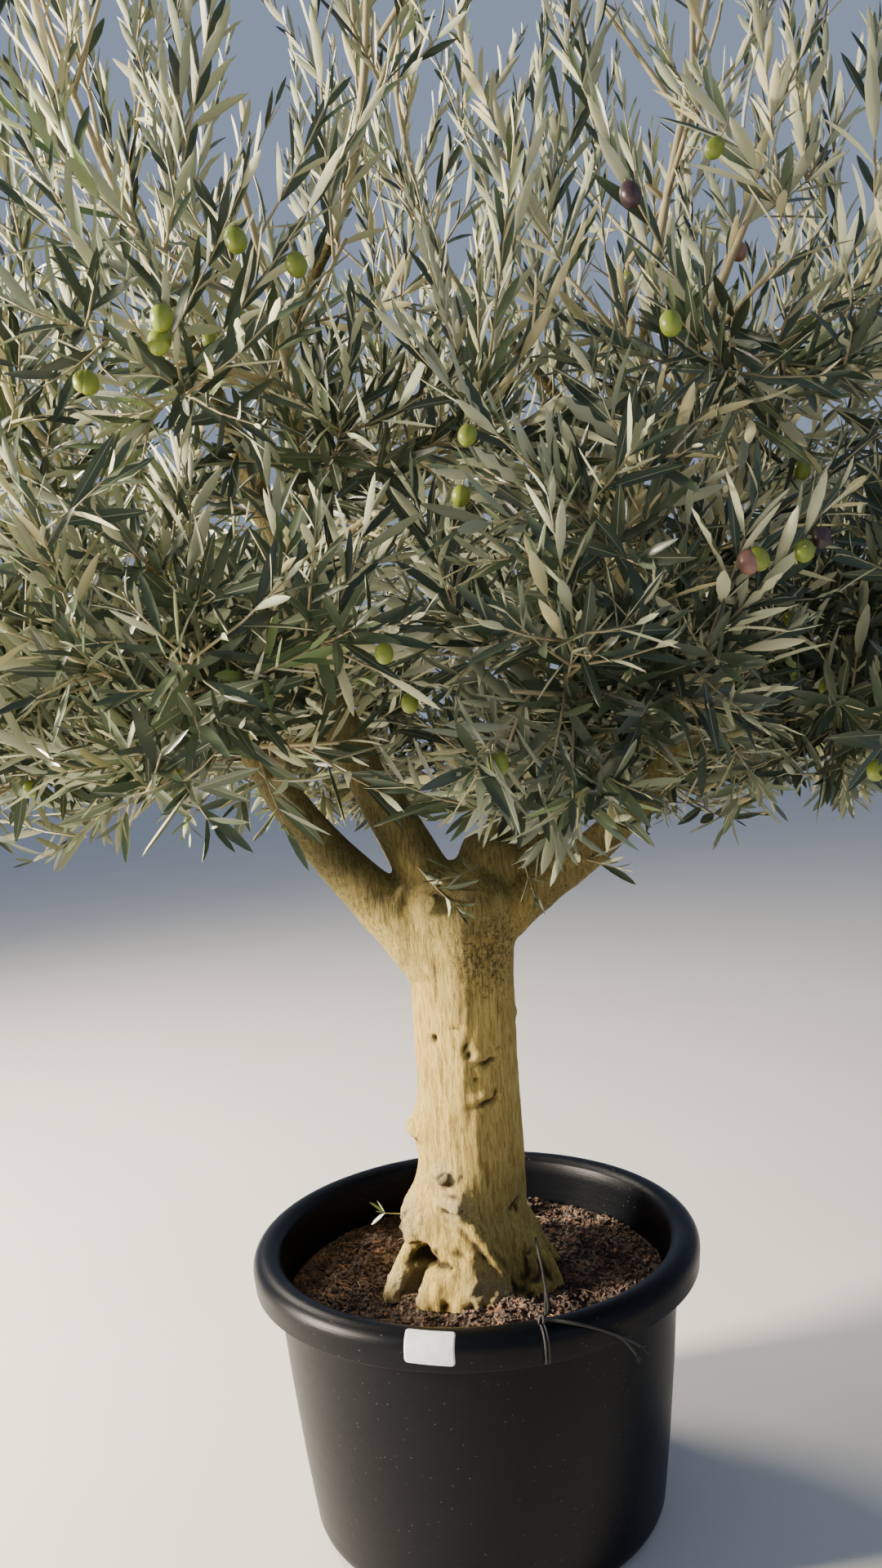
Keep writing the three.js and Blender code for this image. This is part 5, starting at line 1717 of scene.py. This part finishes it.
# %% Joining the leaves
def placed(template, one):
    """Every point of every leaf, from the template and the arrays that place the leaves."""
    x, y, z = template.T
    turn = one["twist"][:, None] * x
    across = (y * np.cos(turn) - z * np.sin(turn)) * one["width"][:, None]
    above = (y * np.sin(turn) + z * np.cos(turn)) * one["width"][:, None]
    above = above + (one["bend"] * one["length"])[:, None] * x**2
    ahead_by = one["length"][:, None] * x
    side = np.cross(one["upper"], one["out"])
    return (
        one["root"][:, None]
        + one["out"][:, None] * ahead_by[..., None]
        + side[:, None] * across[..., None]
        + one["upper"][:, None] * above[..., None]
    )


def kind_of(lengths):
    """Which kind each leaf is, by its length."""
    return sum((lengths < least).astype(int) for least, _ in LEAF_KINDS[:-1])


def joined_leaves(name, some_leaves):
    """One mesh of many leaves, the longest with a midrib."""
    kinds = kind_of(some_leaves["length"])
    parts = [(LEAF_KINDS[kind][1], picked(some_leaves, kinds == kind)) for kind in np.unique(kinds)]
    points, loops, sizes, dealt, rims = [], [], [], [], []
    first = 0
    for (template, faces, rim), one in parts:
        count, corners = len(one["root"]), len(template)
        points.append(placed(template, one).reshape(-1, 3) * MM)
        starts = first + np.arange(count) * corners
        loops.append((starts[:, None] + np.concatenate([face for face, _ in faces])).ravel())
        sizes.append(np.tile([len(face) for face, _ in faces], count))
        side = np.array([side for _, side in faces])
        dealt.append(np.where(side == RIB, len(leaf_materials) - 1, one["tint"][:, None] * 2 + side).ravel())
        rims.append((first, first + count * corners, corners, [a * corners + b for a, b in sorted(rim)]))
        first += count * corners
    points, loops, sizes = np.concatenate(points), np.concatenate(loops), np.concatenate(sizes)
    mesh = bpy.data.meshes.new(name)
    mesh.vertices.add(len(points))
    mesh.vertices.foreach_set("co", points.astype(np.float32).ravel())
    mesh.loops.add(len(loops))
    mesh.loops.foreach_set("vertex_index", loops.astype(np.int32))
    mesh.polygons.add(len(sizes))
    mesh.polygons.foreach_set("loop_start", np.concatenate([[0], np.cumsum(sizes)[:-1]]).astype(np.int32))
    for surface in leaf_materials:
        mesh.materials.append(surface)
    mesh.polygons.foreach_set("material_index", np.concatenate(dealt).astype(np.int32))
    mesh.update(calc_edges=True)
    mesh.shade_smooth()
    pairs = np.zeros(len(mesh.edges) * 2, np.int32)
    mesh.edges.foreach_get("vertices", pairs)
    pairs = np.sort(pairs.reshape(-1, 2), axis=1)
    sharp = np.zeros(len(pairs), bool)
    for low, high, corners, codes in rims:
        here = (pairs[:, 0] >= low) & (pairs[:, 0] < high)
        local = (pairs - low) % corners
        sharp |= here & np.isin(local[:, 0] * corners + local[:, 1], codes)
    mesh.attributes.new("sharp_edge", "BOOLEAN", "EDGE").data.foreach_set("value", sharp)
    made = bpy.data.objects.new(name, mesh)
    bpy.context.scene.collection.objects.link(made)
    return made


def triangles_of(template):
    """How many triangles a leaf of this kind has."""
    return sum(len(face) - 2 for face, _ in template[1])


# %% [markdown]
# One mesh of all the leaves would be too heavy to open elsewhere, so the crown is cut into slices
# by height, each below the number of triangles that an exchange file should hold.

# %% Pieces of the crown
MOST_TRIANGLES = 190_000
foliage = [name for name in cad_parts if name.startswith("foliage_")]
cost = np.array([triangles_of(template) for _, template in LEAF_KINDS])[kind_of(leaves["length"])]
order = np.argsort(leaves["root"][:, 2])
slice_of = np.cumsum(cost[order]) // MOST_TRIANGLES
for number in range(slice_of[-1] + 1):
    piece = joined_leaves(f"leaves_{number}", picked(leaves, order[slice_of == number]))
    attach(piece, BODY)
    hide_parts(*foliage)
print("leaf pieces:", slice_of[-1] + 1, "triangles:", cost.sum())

# %% [markdown]
# ## Stems, twigs and shoots
#
# The thin wood is made as tapering tubes, too thin for the grid that melted the thick wood. Its
# bark is young and smooth, pale grey with a tan tinge.

# %% Thin wood
SHOOT_SIDES = 4
TWIG_SIDES = 6
STEM_SIDES = 8
STEM_STEPS = 10
STEM_START_SHARE = 0.92
STEM_END_RADIUS = 3.4
TWIG_END_RADIUS = 2.2
SHOOT_STEP = 55
TAPER = 0.6
TWIG_GRAIN_MM = 3.3333

# Young olive bark: smooth and pale, so that twigs stand out light between the leaves
twig_bark, twig_shader, places = new_material("young_olive_bark", Base_Color=linear("#9c9170"), IOR=1.45)
twig_noise = add_node(
    twig_bark, "TexNoise", {"Vector": places, "Scale": scale_of(TWIG_GRAIN_MM), "Detail": 4}
)
twig_roughness = add_node(twig_bark, "MapRange", {"Value": twig_noise, "To Min": 0.6, "To Max": 0.85})
twig_bump = add_node(twig_bark, "Bump", {"Height": twig_noise, "Strength": 0.5, "Distance": 0.0005})
feed(twig_bark, twig_shader, Roughness=twig_roughness, Normal=twig_bump)


def tube(line, radii, sides, steps, points, faces):
    """Adds a tube along a line to lists of points and faces. It tapers fast at first."""
    rings = [(*line.at(s), mix(*radii, s**TAPER)) for s in even_shares(0, 1, steps)]
    faces.extend(ring_faces(steps + 1, sides, len(points)))
    points.extend(rings_round(rings, sides))


thin_points, thin_faces = [], []
for mass in masses:
    g = grown[mass["name"]]
    radii = (g["tip_radius"] * STEM_START_SHARE, STEM_END_RADIUS)
    tube(g["stem"], radii, STEM_SIDES, STEM_STEPS, thin_points, thin_faces)
    for twig in (twig for twig in g["twigs"] if twig["stays"]):
        tube(twig["line"], (TWIG_RADIUS, TWIG_END_RADIUS), TWIG_SIDES, 3, thin_points, thin_faces)
for shoot in shoots:
    steps = max(2, int(shoot["line"].length / SHOOT_STEP))
    tube(shoot["line"], SHOOT_RADII, SHOOT_SIDES, steps, thin_points, thin_faces)
twigs_piece = object_from("twigs", np.array(thin_points) * MM, thin_faces, [twig_bark])
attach(twigs_piece, BODY)
print("thin wood faces:", len(thin_faces))

# %% [markdown]
# ## Olives
#
# The fruit is still green, 2 to 2.5 cm long, and hangs singly on a short stalk from the foot of a
# leaf. Where the photograph shows one, the nearest leaf foot on that line of sight carries it. As
# many again hang round the rest of the crown.

# %% Fruit
OLIVE_LENGTH = 23.5
OLIVE_WIDTH = 20
OLIVE_SIDES = 12
OLIVE_STEPS = 8
OLIVE_TIP_RADIUS = 0.35
STALK = 11
PORE_MM = 1.5385
STALK_RADII = (0.9, 0.8)
# Pixels of the photograph where an olive shows
SEEN_OLIVES = [
    (95, 427), (130, 466), (233, 396), (358, 318), (467, 785), (558, 588), (875, 655), (985, 655),
    (572, 885), (832, 372), (975, 570), (1063, 900), (295, 262), (918, 140), (200, 318), (560, 524),
    (1022, 822), (512, 850),
]
SEEN_PINK = [(905, 290)]
SEEN_DARK = [(783, 185), (1008, 617)]
MORE_OLIVES = 26
GREEN_SHARE = 0.94
SIGHT_REACH_MM = 30
NEAREST_OLIVE_MM = 600
OLIVE_SEED = 23
OLIVE_SKINS = {"green": "#76842e", "pink": "#8a6258", "dark": "#3a2b2e"}


def olive_skin(name, colour, spot_colour):
    """Olive skin: wax makes it shine softly, and pale pores about 1.5 mm apart speckle it."""
    surface, shader, places = new_material(name, IOR=1.45)
    pores = add_node(surface, "TexVoronoi", {"Vector": places, "Scale": scale_of(PORE_MM)})
    spots = add_node(surface, "ValToRGB", {"Fac": pores}, stops=[(0.08, spot_colour), (0.22, colour)])
    rough = add_node(surface, "MapRange", {"Value": pores, "To Min": 0.3, "To Max": 0.42})
    feed(surface, shader, Base_Color=spots, Roughness=rough)
    return surface


olive_skins = [
    olive_skin("olive_skin_green", OLIVE_SKINS["green"], "#a2aa58"),
    olive_skin("olive_skin_turning", OLIVE_SKINS["pink"], "#c09a80"),
    olive_skin("olive_skin_ripe", OLIVE_SKINS["dark"], "#6a5556"),
]
feet = leaves["root"]


def foot_on_sight(pixel):
    """The nearest leaf foot to the eye along a line of sight, well in front of the crown's middle."""
    along = np.array(line_of_sight(*pixel))
    depth = (feet - eye) @ along
    aside = np.linalg.norm(feet - eye - depth[:, None] * along, axis=1)
    too_far = np.where((aside < SIGHT_REACH_MM) & (depth > NEAREST_OLIVE_MM), 0, 1e5)
    return int(np.argmin(depth + 6 * aside + too_far))


fruit_rng = np.random.default_rng(OLIVE_SEED)
hung = [(foot_on_sight(p), 0) for p in SEEN_OLIVES]
hung += [(foot_on_sight(p), 1) for p in SEEN_PINK] + [(foot_on_sight(p), 2) for p in SEEN_DARK]
for foot in fruit_rng.choice(len(feet), MORE_OLIVES, replace=False):
    hung.append((int(foot), int(fruit_rng.random() > GREEN_SHARE)))
fruit_points, fruit_faces, fruit_kinds = [], [], []
stalk_points, stalk_faces = [], []
for foot, kind in hung:
    lean = unit(np.array([*fruit_rng.normal(0, 0.25, 2), -1.0]))
    top = feet[foot] + lean * STALK
    size = fruit_rng.uniform(0.85, 1.08)
    rings = []
    for step in range(OLIVE_STEPS + 1):
        turn = math.pi * step / OLIVE_STEPS
        wide = OLIVE_TIP_RADIUS
        if 0 < step < OLIVE_STEPS:
            wide = max(wide, OLIVE_WIDTH / 2 * math.sin(turn) ** 0.9 * size)
        rings.append((top + lean * (OLIVE_LENGTH / 2 * (1 - math.cos(turn)) * size), lean, wide))
    made = ring_faces(len(rings), OLIVE_SIDES, len(fruit_points))
    fruit_faces += made
    fruit_kinds += [kind] * len(made)
    fruit_points += rings_round(rings, OLIVE_SIDES)
    tube(Line([feet[foot], top + lean]), STALK_RADII, 5, 2, stalk_points, stalk_faces)
fruit = object_from("olives", np.array(fruit_points) * MM, fruit_faces, olive_skins, fruit_kinds)
stalks = object_from("olive_stalks", np.array(stalk_points) * MM, stalk_faces, [twig_bark])
for piece in (fruit, stalks):
    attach(piece, BODY)
print("olives:", len(hung))

# %% [markdown]
# ## The soil
#
# Potting mix for trees is peat with composted bark: dark brown and crumbly, with reddish chips
# lying on top. The surface was filled by hand, so it is uneven and piled against the trunk. The
# filling itself is a disc with relief, and crumbs, chips and fibres lie on it as pieces of their
# own, because their little shadows are what makes it look loose.

# %% The soil's surface
soil_low, soil_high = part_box("soil")
SOIL_RINGS = 70
SOIL_STEPS = 240
SOIL_PATCH_MM = 62.5
# The rings below the surface: share of the soil's radius and height over its underside
SOIL_FOOT_RADIUS = 0.23
SOIL_SIDE = (0.86, 0.03)
soil_radius = soil_high.x
soil_edge = soil_high.z - 6 * MM


def soil_height(x, y):
    """The height of the soil at a place, in metres: heaped here and there, and crumbly."""
    out = math.hypot(x, y)
    heap = 0.02 * noise.noise(Vector((x * 9, y * 9, 3))) + 0.009 * noise.noise(Vector((x * 26, y * 26, 5)))
    crumbs = 0.005 * noise.noise(Vector((x * 80, y * 80, 9)))
    crumbs += 0.003 * noise.noise(Vector((x * 190, y * 190, 1)))
    edge = min(1, (soil_radius - out) / 0.03)
    behind = math.exp(-((x - 0.12) ** 2 + (y - 0.14) ** 2) / 0.012)
    piled = 0.004 * max(0, 1 - out / 0.2)
    return soil_edge + 0.004 + (heap + crumbs) * max(0, edge) + piled + 0.016 * behind


soil_points = [(0, 0, soil_low.z)]
below = [(SOIL_FOOT_RADIUS, soil_low.z), (soil_radius * SOIL_SIDE[0], soil_low.z + SOIL_SIDE[1])]
for radius, height in below:
    soil_points += [(x, y, height) for x, y in circle(radius, SOIL_STEPS)]
for ring in range(SOIL_RINGS):
    radius = soil_radius * (1 - ring / SOIL_RINGS)
    soil_points += [(x, y, soil_height(x, y)) for x, y in circle(radius, SOIL_STEPS)]
soil_points.append((0, 0, soil_height(0, 0)))
soil_faces = domed_faces(SOIL_RINGS + 2, SOIL_STEPS, len(soil_points))


def crumbly(name, dark, middle, light, grain_mm):
    """A dull earthy material of three tones, mixed by grains of a real size."""
    material, shader, places = new_material(name, IOR=1.4)
    shader.inputs["Specular IOR Level"].default_value = 0.25
    broad = add_node(
        material, "TexNoise",
        {"Vector": places, "Scale": scale_of(SOIL_PATCH_MM), "Detail": 6, "Roughness": 0.7},
    )
    fine = add_node(
        material, "TexNoise", {"Vector": places, "Scale": scale_of(grain_mm), "Detail": 6, "Roughness": 0.8}
    )
    together = add_node(material, "Math", {0: broad, 1: fine}, operation="ADD")
    share = add_node(material, "MapRange", {"Value": together, "From Min": 0.75, "From Max": 1.3})
    stops = [(0.15, dark), (0.9, light), (0.5, middle)]
    tone = add_node(material, "ValToRGB", {"Fac": share}, stops=stops)
    bump = add_node(material, "Bump", {"Height": fine, "Strength": 1.0, "Distance": 0.002})
    rough = add_node(material, "MapRange", {"Value": fine, "To Min": 0.85, "To Max": 1.0})
    feed(material, shader, Base_Color=tone, Normal=bump, Roughness=rough)
    return material


# Peat is brown black and swallows light. The bark in it is redder, and dry roots are straw coloured
peat = crumbly("peat_potting_mix", "#332b27", "#594b43", "#92806f", 4)
chip_bark = crumbly("composted_pine_bark", "#4a3428", "#7d5a45", "#b08c70", 3)
straw_fibre = crumbly("dry_root_fibre", "#6a5842", "#9a8468", "#cdb591", 2)
soil_piece = object_from("potting_mix", soil_points, soil_faces, [peat])
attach(soil_piece, BODY)
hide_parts("soil")
print("soil faces:", len(soil_faces))

# %% Crumbs, chips and fibres
CRUMBS = 5200
CHIPS = 620
FIBRES = 90
TRUNK_EDGE = 112 * MM
BOX_CORNERS = [(x, y, z) for z in (-1, 1) for x, y in ((-1, -1), (1, -1), (1, 1), (-1, 1))]
BOX_FACES = [(0, 3, 2, 1), (4, 5, 6, 7), (0, 1, 5, 4), (1, 2, 6, 5), (2, 3, 7, 6), (3, 0, 4, 7)]
soil_rng = np.random.default_rng(41)


def litter_place():
    """A place on the soil at random, evenly spread between the trunk and the wall."""
    out = math.sqrt(soil_rng.uniform(TRUNK_EDGE**2, (soil_radius - 6 * MM) ** 2))
    angle = soil_rng.uniform(0, math.tau)
    x, y = out * math.cos(angle), out * math.sin(angle)
    return Vector((x, y, soil_height(x, y)))


def scattered(name, count, sizes, tilt, material):
    """Many small blocky bits with uneven corners, lying on the soil."""
    points, faces = [], []
    for _ in range(count):
        place = litter_place()
        size = [soil_rng.uniform(*span) / 2 for span in sizes]
        turned_by = Matrix.Rotation(soil_rng.uniform(0, math.tau), 3, "Z")
        turned_by = turned_by @ Matrix.Rotation(soil_rng.normal(0, tilt), 3, "X")
        turned_by = turned_by @ Matrix.Rotation(soil_rng.normal(0, tilt), 3, "Y")
        first = len(points)
        for corner in BOX_CORNERS:
            bit = Vector([c * s * soil_rng.uniform(0.55, 1.1) for c, s in zip(corner, size)])
            points.append(place + turned_by @ bit + Vector((0, 0, size[2] * 0.4)))
        faces += [tuple(first + i for i in face) for face in BOX_FACES]
    piece = object_from(name, points, faces, [material], smooth=False)
    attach(piece, BODY)


scattered("soil_crumbs", CRUMBS, [(0.003, 0.010), (0.003, 0.009), (0.003, 0.008)], 0.6, peat)
scattered("bark_chips", CHIPS, [(0.007, 0.022), (0.003, 0.009), (0.0015, 0.004)], 0.35, chip_bark)
fibre_points, fibre_faces = [], []
for _ in range(FIBRES):
    start = np.array(litter_place()) / MM + UP * 2
    run = heading(soil_rng.uniform(0, 360), soil_rng.uniform(-2, 14)) * soil_rng.uniform(18, 55)
    middle = start + run / 2 + soil_rng.normal(0, 7, 3) + UP * 5
    end = start + run
    if math.hypot(*end[:2]) > soil_radius / MM - 8:
        end = start - run
    end[2] = soil_height(end[0] * MM, end[1] * MM) / MM + 1.5
    tube(Line(bend(start, middle, end)), (0.8, 0.5), 4, 8, fibre_points, fibre_faces)
fibres = object_from("root_fibres", np.array(fibre_points) * MM, fibre_faces, [straw_fibre])
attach(fibres, BODY)
print("crumbs:", CRUMBS, "chips:", CHIPS, "fibres:", FIBRES)

# %% [markdown]
# ## The label, the twine and the sucker
#
# A white plastic sticker with rounded corners wraps the lip at the front. It is bare. Black twine
# was tied from the foot of the trunk to the lip, to hold the tree while it was moved, and its two
# ends stick out past the knot. A small sucker with a few leaves grows from the burl at the left.

# %% The label
LABEL_BEARING = 258.2
LABEL_WIDTH = 68
LABEL_HEIGHT = 45
LABEL_CORNER = 5
LABEL_THICKNESS = 0.25
LABEL_TOP_ANGLE = 80
LABEL_TILT = 0.045
LABEL_STEPS = 24
LABEL_DUST_MM = 11.111
lip_radius = LIP_RADIUS / MM
lip_middle = (roll[0] / MM, roll[1] / MM)


def on_lip(down, proud):
    """Radius and height on the outside of the lip, by the way down from its top, in millimetres."""
    start = LABEL_TOP_ANGLE * DEG
    angle = start - down / lip_radius
    if angle > 0:
        reach = lip_radius + proud
        return lip_middle[0] + reach * math.cos(angle), lip_middle[1] + reach * math.sin(angle)
    return lip_middle[0] + lip_radius + proud, lip_middle[1] - (down - start * lip_radius)


def half_width(down):
    """Half the label's width at a way down from its top, less where a corner is rounded."""
    near_end = min(down, LABEL_HEIGHT - down)
    if near_end >= LABEL_CORNER:
        return LABEL_WIDTH / 2
    return LABEL_WIDTH / 2 - LABEL_CORNER + math.sqrt(LABEL_CORNER**2 - (LABEL_CORNER - near_end) ** 2)


label_points, label_faces = [], []
for proud in (LABEL_THICKNESS, -0.4):
    for row in range(LABEL_STEPS + 1):
        down = LABEL_HEIGHT * (1 - math.cos(math.pi * row / LABEL_STEPS)) / 2
        for column_share in even_shares(-1, 1, LABEL_STEPS):
            across = column_share * half_width(down)
            radius, height = on_lip(down + LABEL_TILT * across, proud)
            spot = heading(LABEL_BEARING + across / (radius * DEG), 0) * radius
            label_points.append((spot[0] * MM, spot[1] * MM, height * MM))
row_length = LABEL_STEPS + 1
sheet = row_length * row_length
for row in range(LABEL_STEPS):
    for col in range(LABEL_STEPS):
        a = row * row_length + col
        label_faces.append((a, a + row_length, a + row_length + 1, a + 1))
        label_faces.append((sheet + a, sheet + a + 1, sheet + a + row_length + 1, sheet + a + row_length))
for i in range(LABEL_STEPS):
    top, bottom = i, LABEL_STEPS * row_length + i
    left, right = i * row_length, i * row_length + LABEL_STEPS
    edges = [(top, top + 1), (bottom + 1, bottom), (left + row_length, left), (right, right + row_length)]
    label_faces += [(a, b, sheet + b, sheet + a) for a, b in edges]
# White vinyl film, calendered smooth: flat and clean, with a satin sheen that dust dulls in patches
vinyl, vinyl_shader, places = new_material("white_vinyl_sticker", IOR=1.5)
vinyl_dust = add_node(vinyl, "TexNoise", {"Vector": places, "Scale": scale_of(LABEL_DUST_MM), "Detail": 5})
vinyl_tone = add_node(vinyl, "ValToRGB", {"Fac": vinyl_dust}, stops=[(0.3, "#c3c8cc"), (0.6, "#d4d8db")])
vinyl_rough = add_node(vinyl, "MapRange", {"Value": vinyl_dust, "To Min": 0.35, "To Max": 0.5})
feed(vinyl, vinyl_shader, Base_Color=vinyl_tone, Roughness=vinyl_rough)
label = object_from("bare_label", label_points, label_faces, [vinyl])
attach(label, BODY)
print("label faces:", len(label_faces))

# %% The twine
TWINE_RADIUS = 1.9
TWINE_SIDES = 6
TWINE_STEPS = 36
KNOT_BEARING = 283.6
KNOT_OUT = 334
# Each strand is a list of bearing, distance from the axis and height
STRANDS = [
    [
        (321, 118, 440), (312, 140, 428), (300, 190, 418), (292, 250, 420), (287, 310, 434),
        (KNOT_BEARING, KNOT_OUT, 440),
    ],
    [
        (322, 116, 436), (311, 142, 425), (301, 188, 415), (291, 252, 417), (286, 312, 432),
        (284.4, KNOT_OUT, 440),
    ],
    [(KNOT_BEARING, KNOT_OUT, 440), (290, 349.5, 434), (297, 356, 416), (302, 359, 396), (305.4, 362, 380)],
    [(284, 336, 441), (289.5, 349, 436), (296, 355.5, 419), (301.4, 358.5, 398), (304.2, 361, 371)],
]
twine_points, twine_faces = [], []


def polar(bearing, out, height):
    """A place by its bearing, distance from the axis and height."""
    return heading(bearing, 0) * out + UP * height


def rounded(stops):
    """A smooth line through a few stops, by cutting its corners three times."""
    for _ in range(3):
        cut = [stops[0]]
        for a, b in zip(stops, stops[1:]):
            cut += [mix(a, b, 0.25), mix(a, b, 0.75)]
        stops = [*cut, stops[-1]]
    return Line(stops)


def add_twine(line, radii=(TWINE_RADIUS, TWINE_RADIUS), sides=TWINE_SIDES, steps=TWINE_STEPS):
    """Adds a strand of twine along a line."""
    tube(line, radii, sides, steps, twine_points, twine_faces)


for strand in STRANDS:
    add_twine(rounded([polar(*stop) for stop in strand]))
for beside in (-0.35, 0.35):
    over_lip = [polar(KNOT_BEARING + beside, KNOT_OUT, 438)]
    for down in even_shares(-15, 53, 17):
        radius, height = on_lip(down, TWINE_RADIUS)
        over_lip.append(polar(KNOT_BEARING + beside, radius, height))
    over_lip.append(polar(KNOT_BEARING + beside, 341, POT_HEIGHT / MM - 49.5))
    add_twine(rounded(over_lip))
KNOT_TURNS = 3
KNOT_SIZE = 5
knot_middle = polar(KNOT_BEARING, 335, 439.5)
for turn in range(KNOT_TURNS):
    tilt = turn * 60
    loop = []
    for step in range(13):
        angle = math.tau * step / 12
        flat = heading(KNOT_BEARING + tilt, 20) * (KNOT_SIZE * math.cos(angle))
        loop.append(knot_middle + flat + UP * (KNOT_SIZE * math.sin(angle)) + heading(tilt, 0) * 1.2)
    add_twine(Line(loop), steps=24)
FRAY_THREADS = 9
TWIST_MM = 1.1111
for strand in STRANDS[2:]:
    end, before = polar(*strand[-1]), polar(*strand[-2])
    for _ in range(FRAY_THREADS):
        tip = end + unit(end - before) * soil_rng.uniform(8, 20) + soil_rng.normal(0, 2.5, 3)
        middle = mix(end, tip, 0.5) + soil_rng.normal(0, 0.8, 3)
        add_twine(Line([end, middle, tip]), radii=(0.5, 0.3), sides=3, steps=4)
# Jute, spun and dyed black: rough and dull, so it shows as a dark line with a faint twist
twine_fibre, twine_shader, places = new_material("black_jute_twine", IOR=1.5)
twisted = add_node(
    twine_fibre, "TexNoise", {"Vector": places, "Scale": scale_of(TWIST_MM), "Detail": 3, "Roughness": 0.7}
)
twine_tone = add_node(
    twine_fibre, "ValToRGB", {"Fac": twisted}, stops=[(0.35, "#0a0a0b"), (0.75, "#2d2b29")]
)
twine_bump = add_node(twine_fibre, "Bump", {"Height": twisted, "Strength": 1.0, "Distance": 0.0012})
feed(twine_fibre, twine_shader, Base_Color=twine_tone, Normal=twine_bump)
twine = object_from("twine", np.array(twine_points) * MM, twine_faces, [twine_fibre])
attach(twine, BODY)
print("twine faces:", len(twine_faces))

# %% The sucker
SUCKER_FOOT = polar(192, 116, 470)
SUCKER_TIP = polar(199, 146, 482)
SUCKER_SLIMNESS = 0.24
SUCKER_BEND = -0.06
# Each leaf: bearing, rise, length and tint
SUCKER_LEAVES = [(176, 42, 30, 4), (214, 66, 26, 4), (168, -38, 30, 3), (230, 30, 22, 4)]
sucker_points, sucker_faces = [], []
tube(Line([SUCKER_FOOT, SUCKER_TIP]), (1.3, 0.9), 6, 4, sucker_points, sucker_faces)
sucker = object_from("sucker_stem", np.array(sucker_points) * MM, sucker_faces, [twig_bark])
count = len(SUCKER_LEAVES)
outs = np.array([heading(bearing, rise) for bearing, rise, _, _ in SUCKER_LEAVES])
# The upper sides look up and towards the front
uppers = np.array([unit(UP - out * out[2] + heading(270, 0) * 0.5 * (1 - out[2])) for out in outs])
uppers = unit_rows(uppers - outs * (uppers * outs).sum(1)[:, None])
lengths = np.array([length for _, _, length, _ in SUCKER_LEAVES], float)
tints = np.array([tint for _, _, _, tint in SUCKER_LEAVES])
on_sucker = dict(root=np.tile(SUCKER_TIP, (count, 1)), out=outs, upper=uppers, length=lengths, tint=tints)
on_sucker["width"] = lengths * SUCKER_SLIMNESS
on_sucker["bend"] = np.full(count, SUCKER_BEND)
on_sucker["twist"] = np.zeros(count)
sucker_leaves = joined_leaves("sucker_leaves", on_sucker)
for piece, slot in ((sucker, "twigs"), (sucker_leaves, "foliage")):
    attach(piece, BODY)
print("sucker leaves:", count)
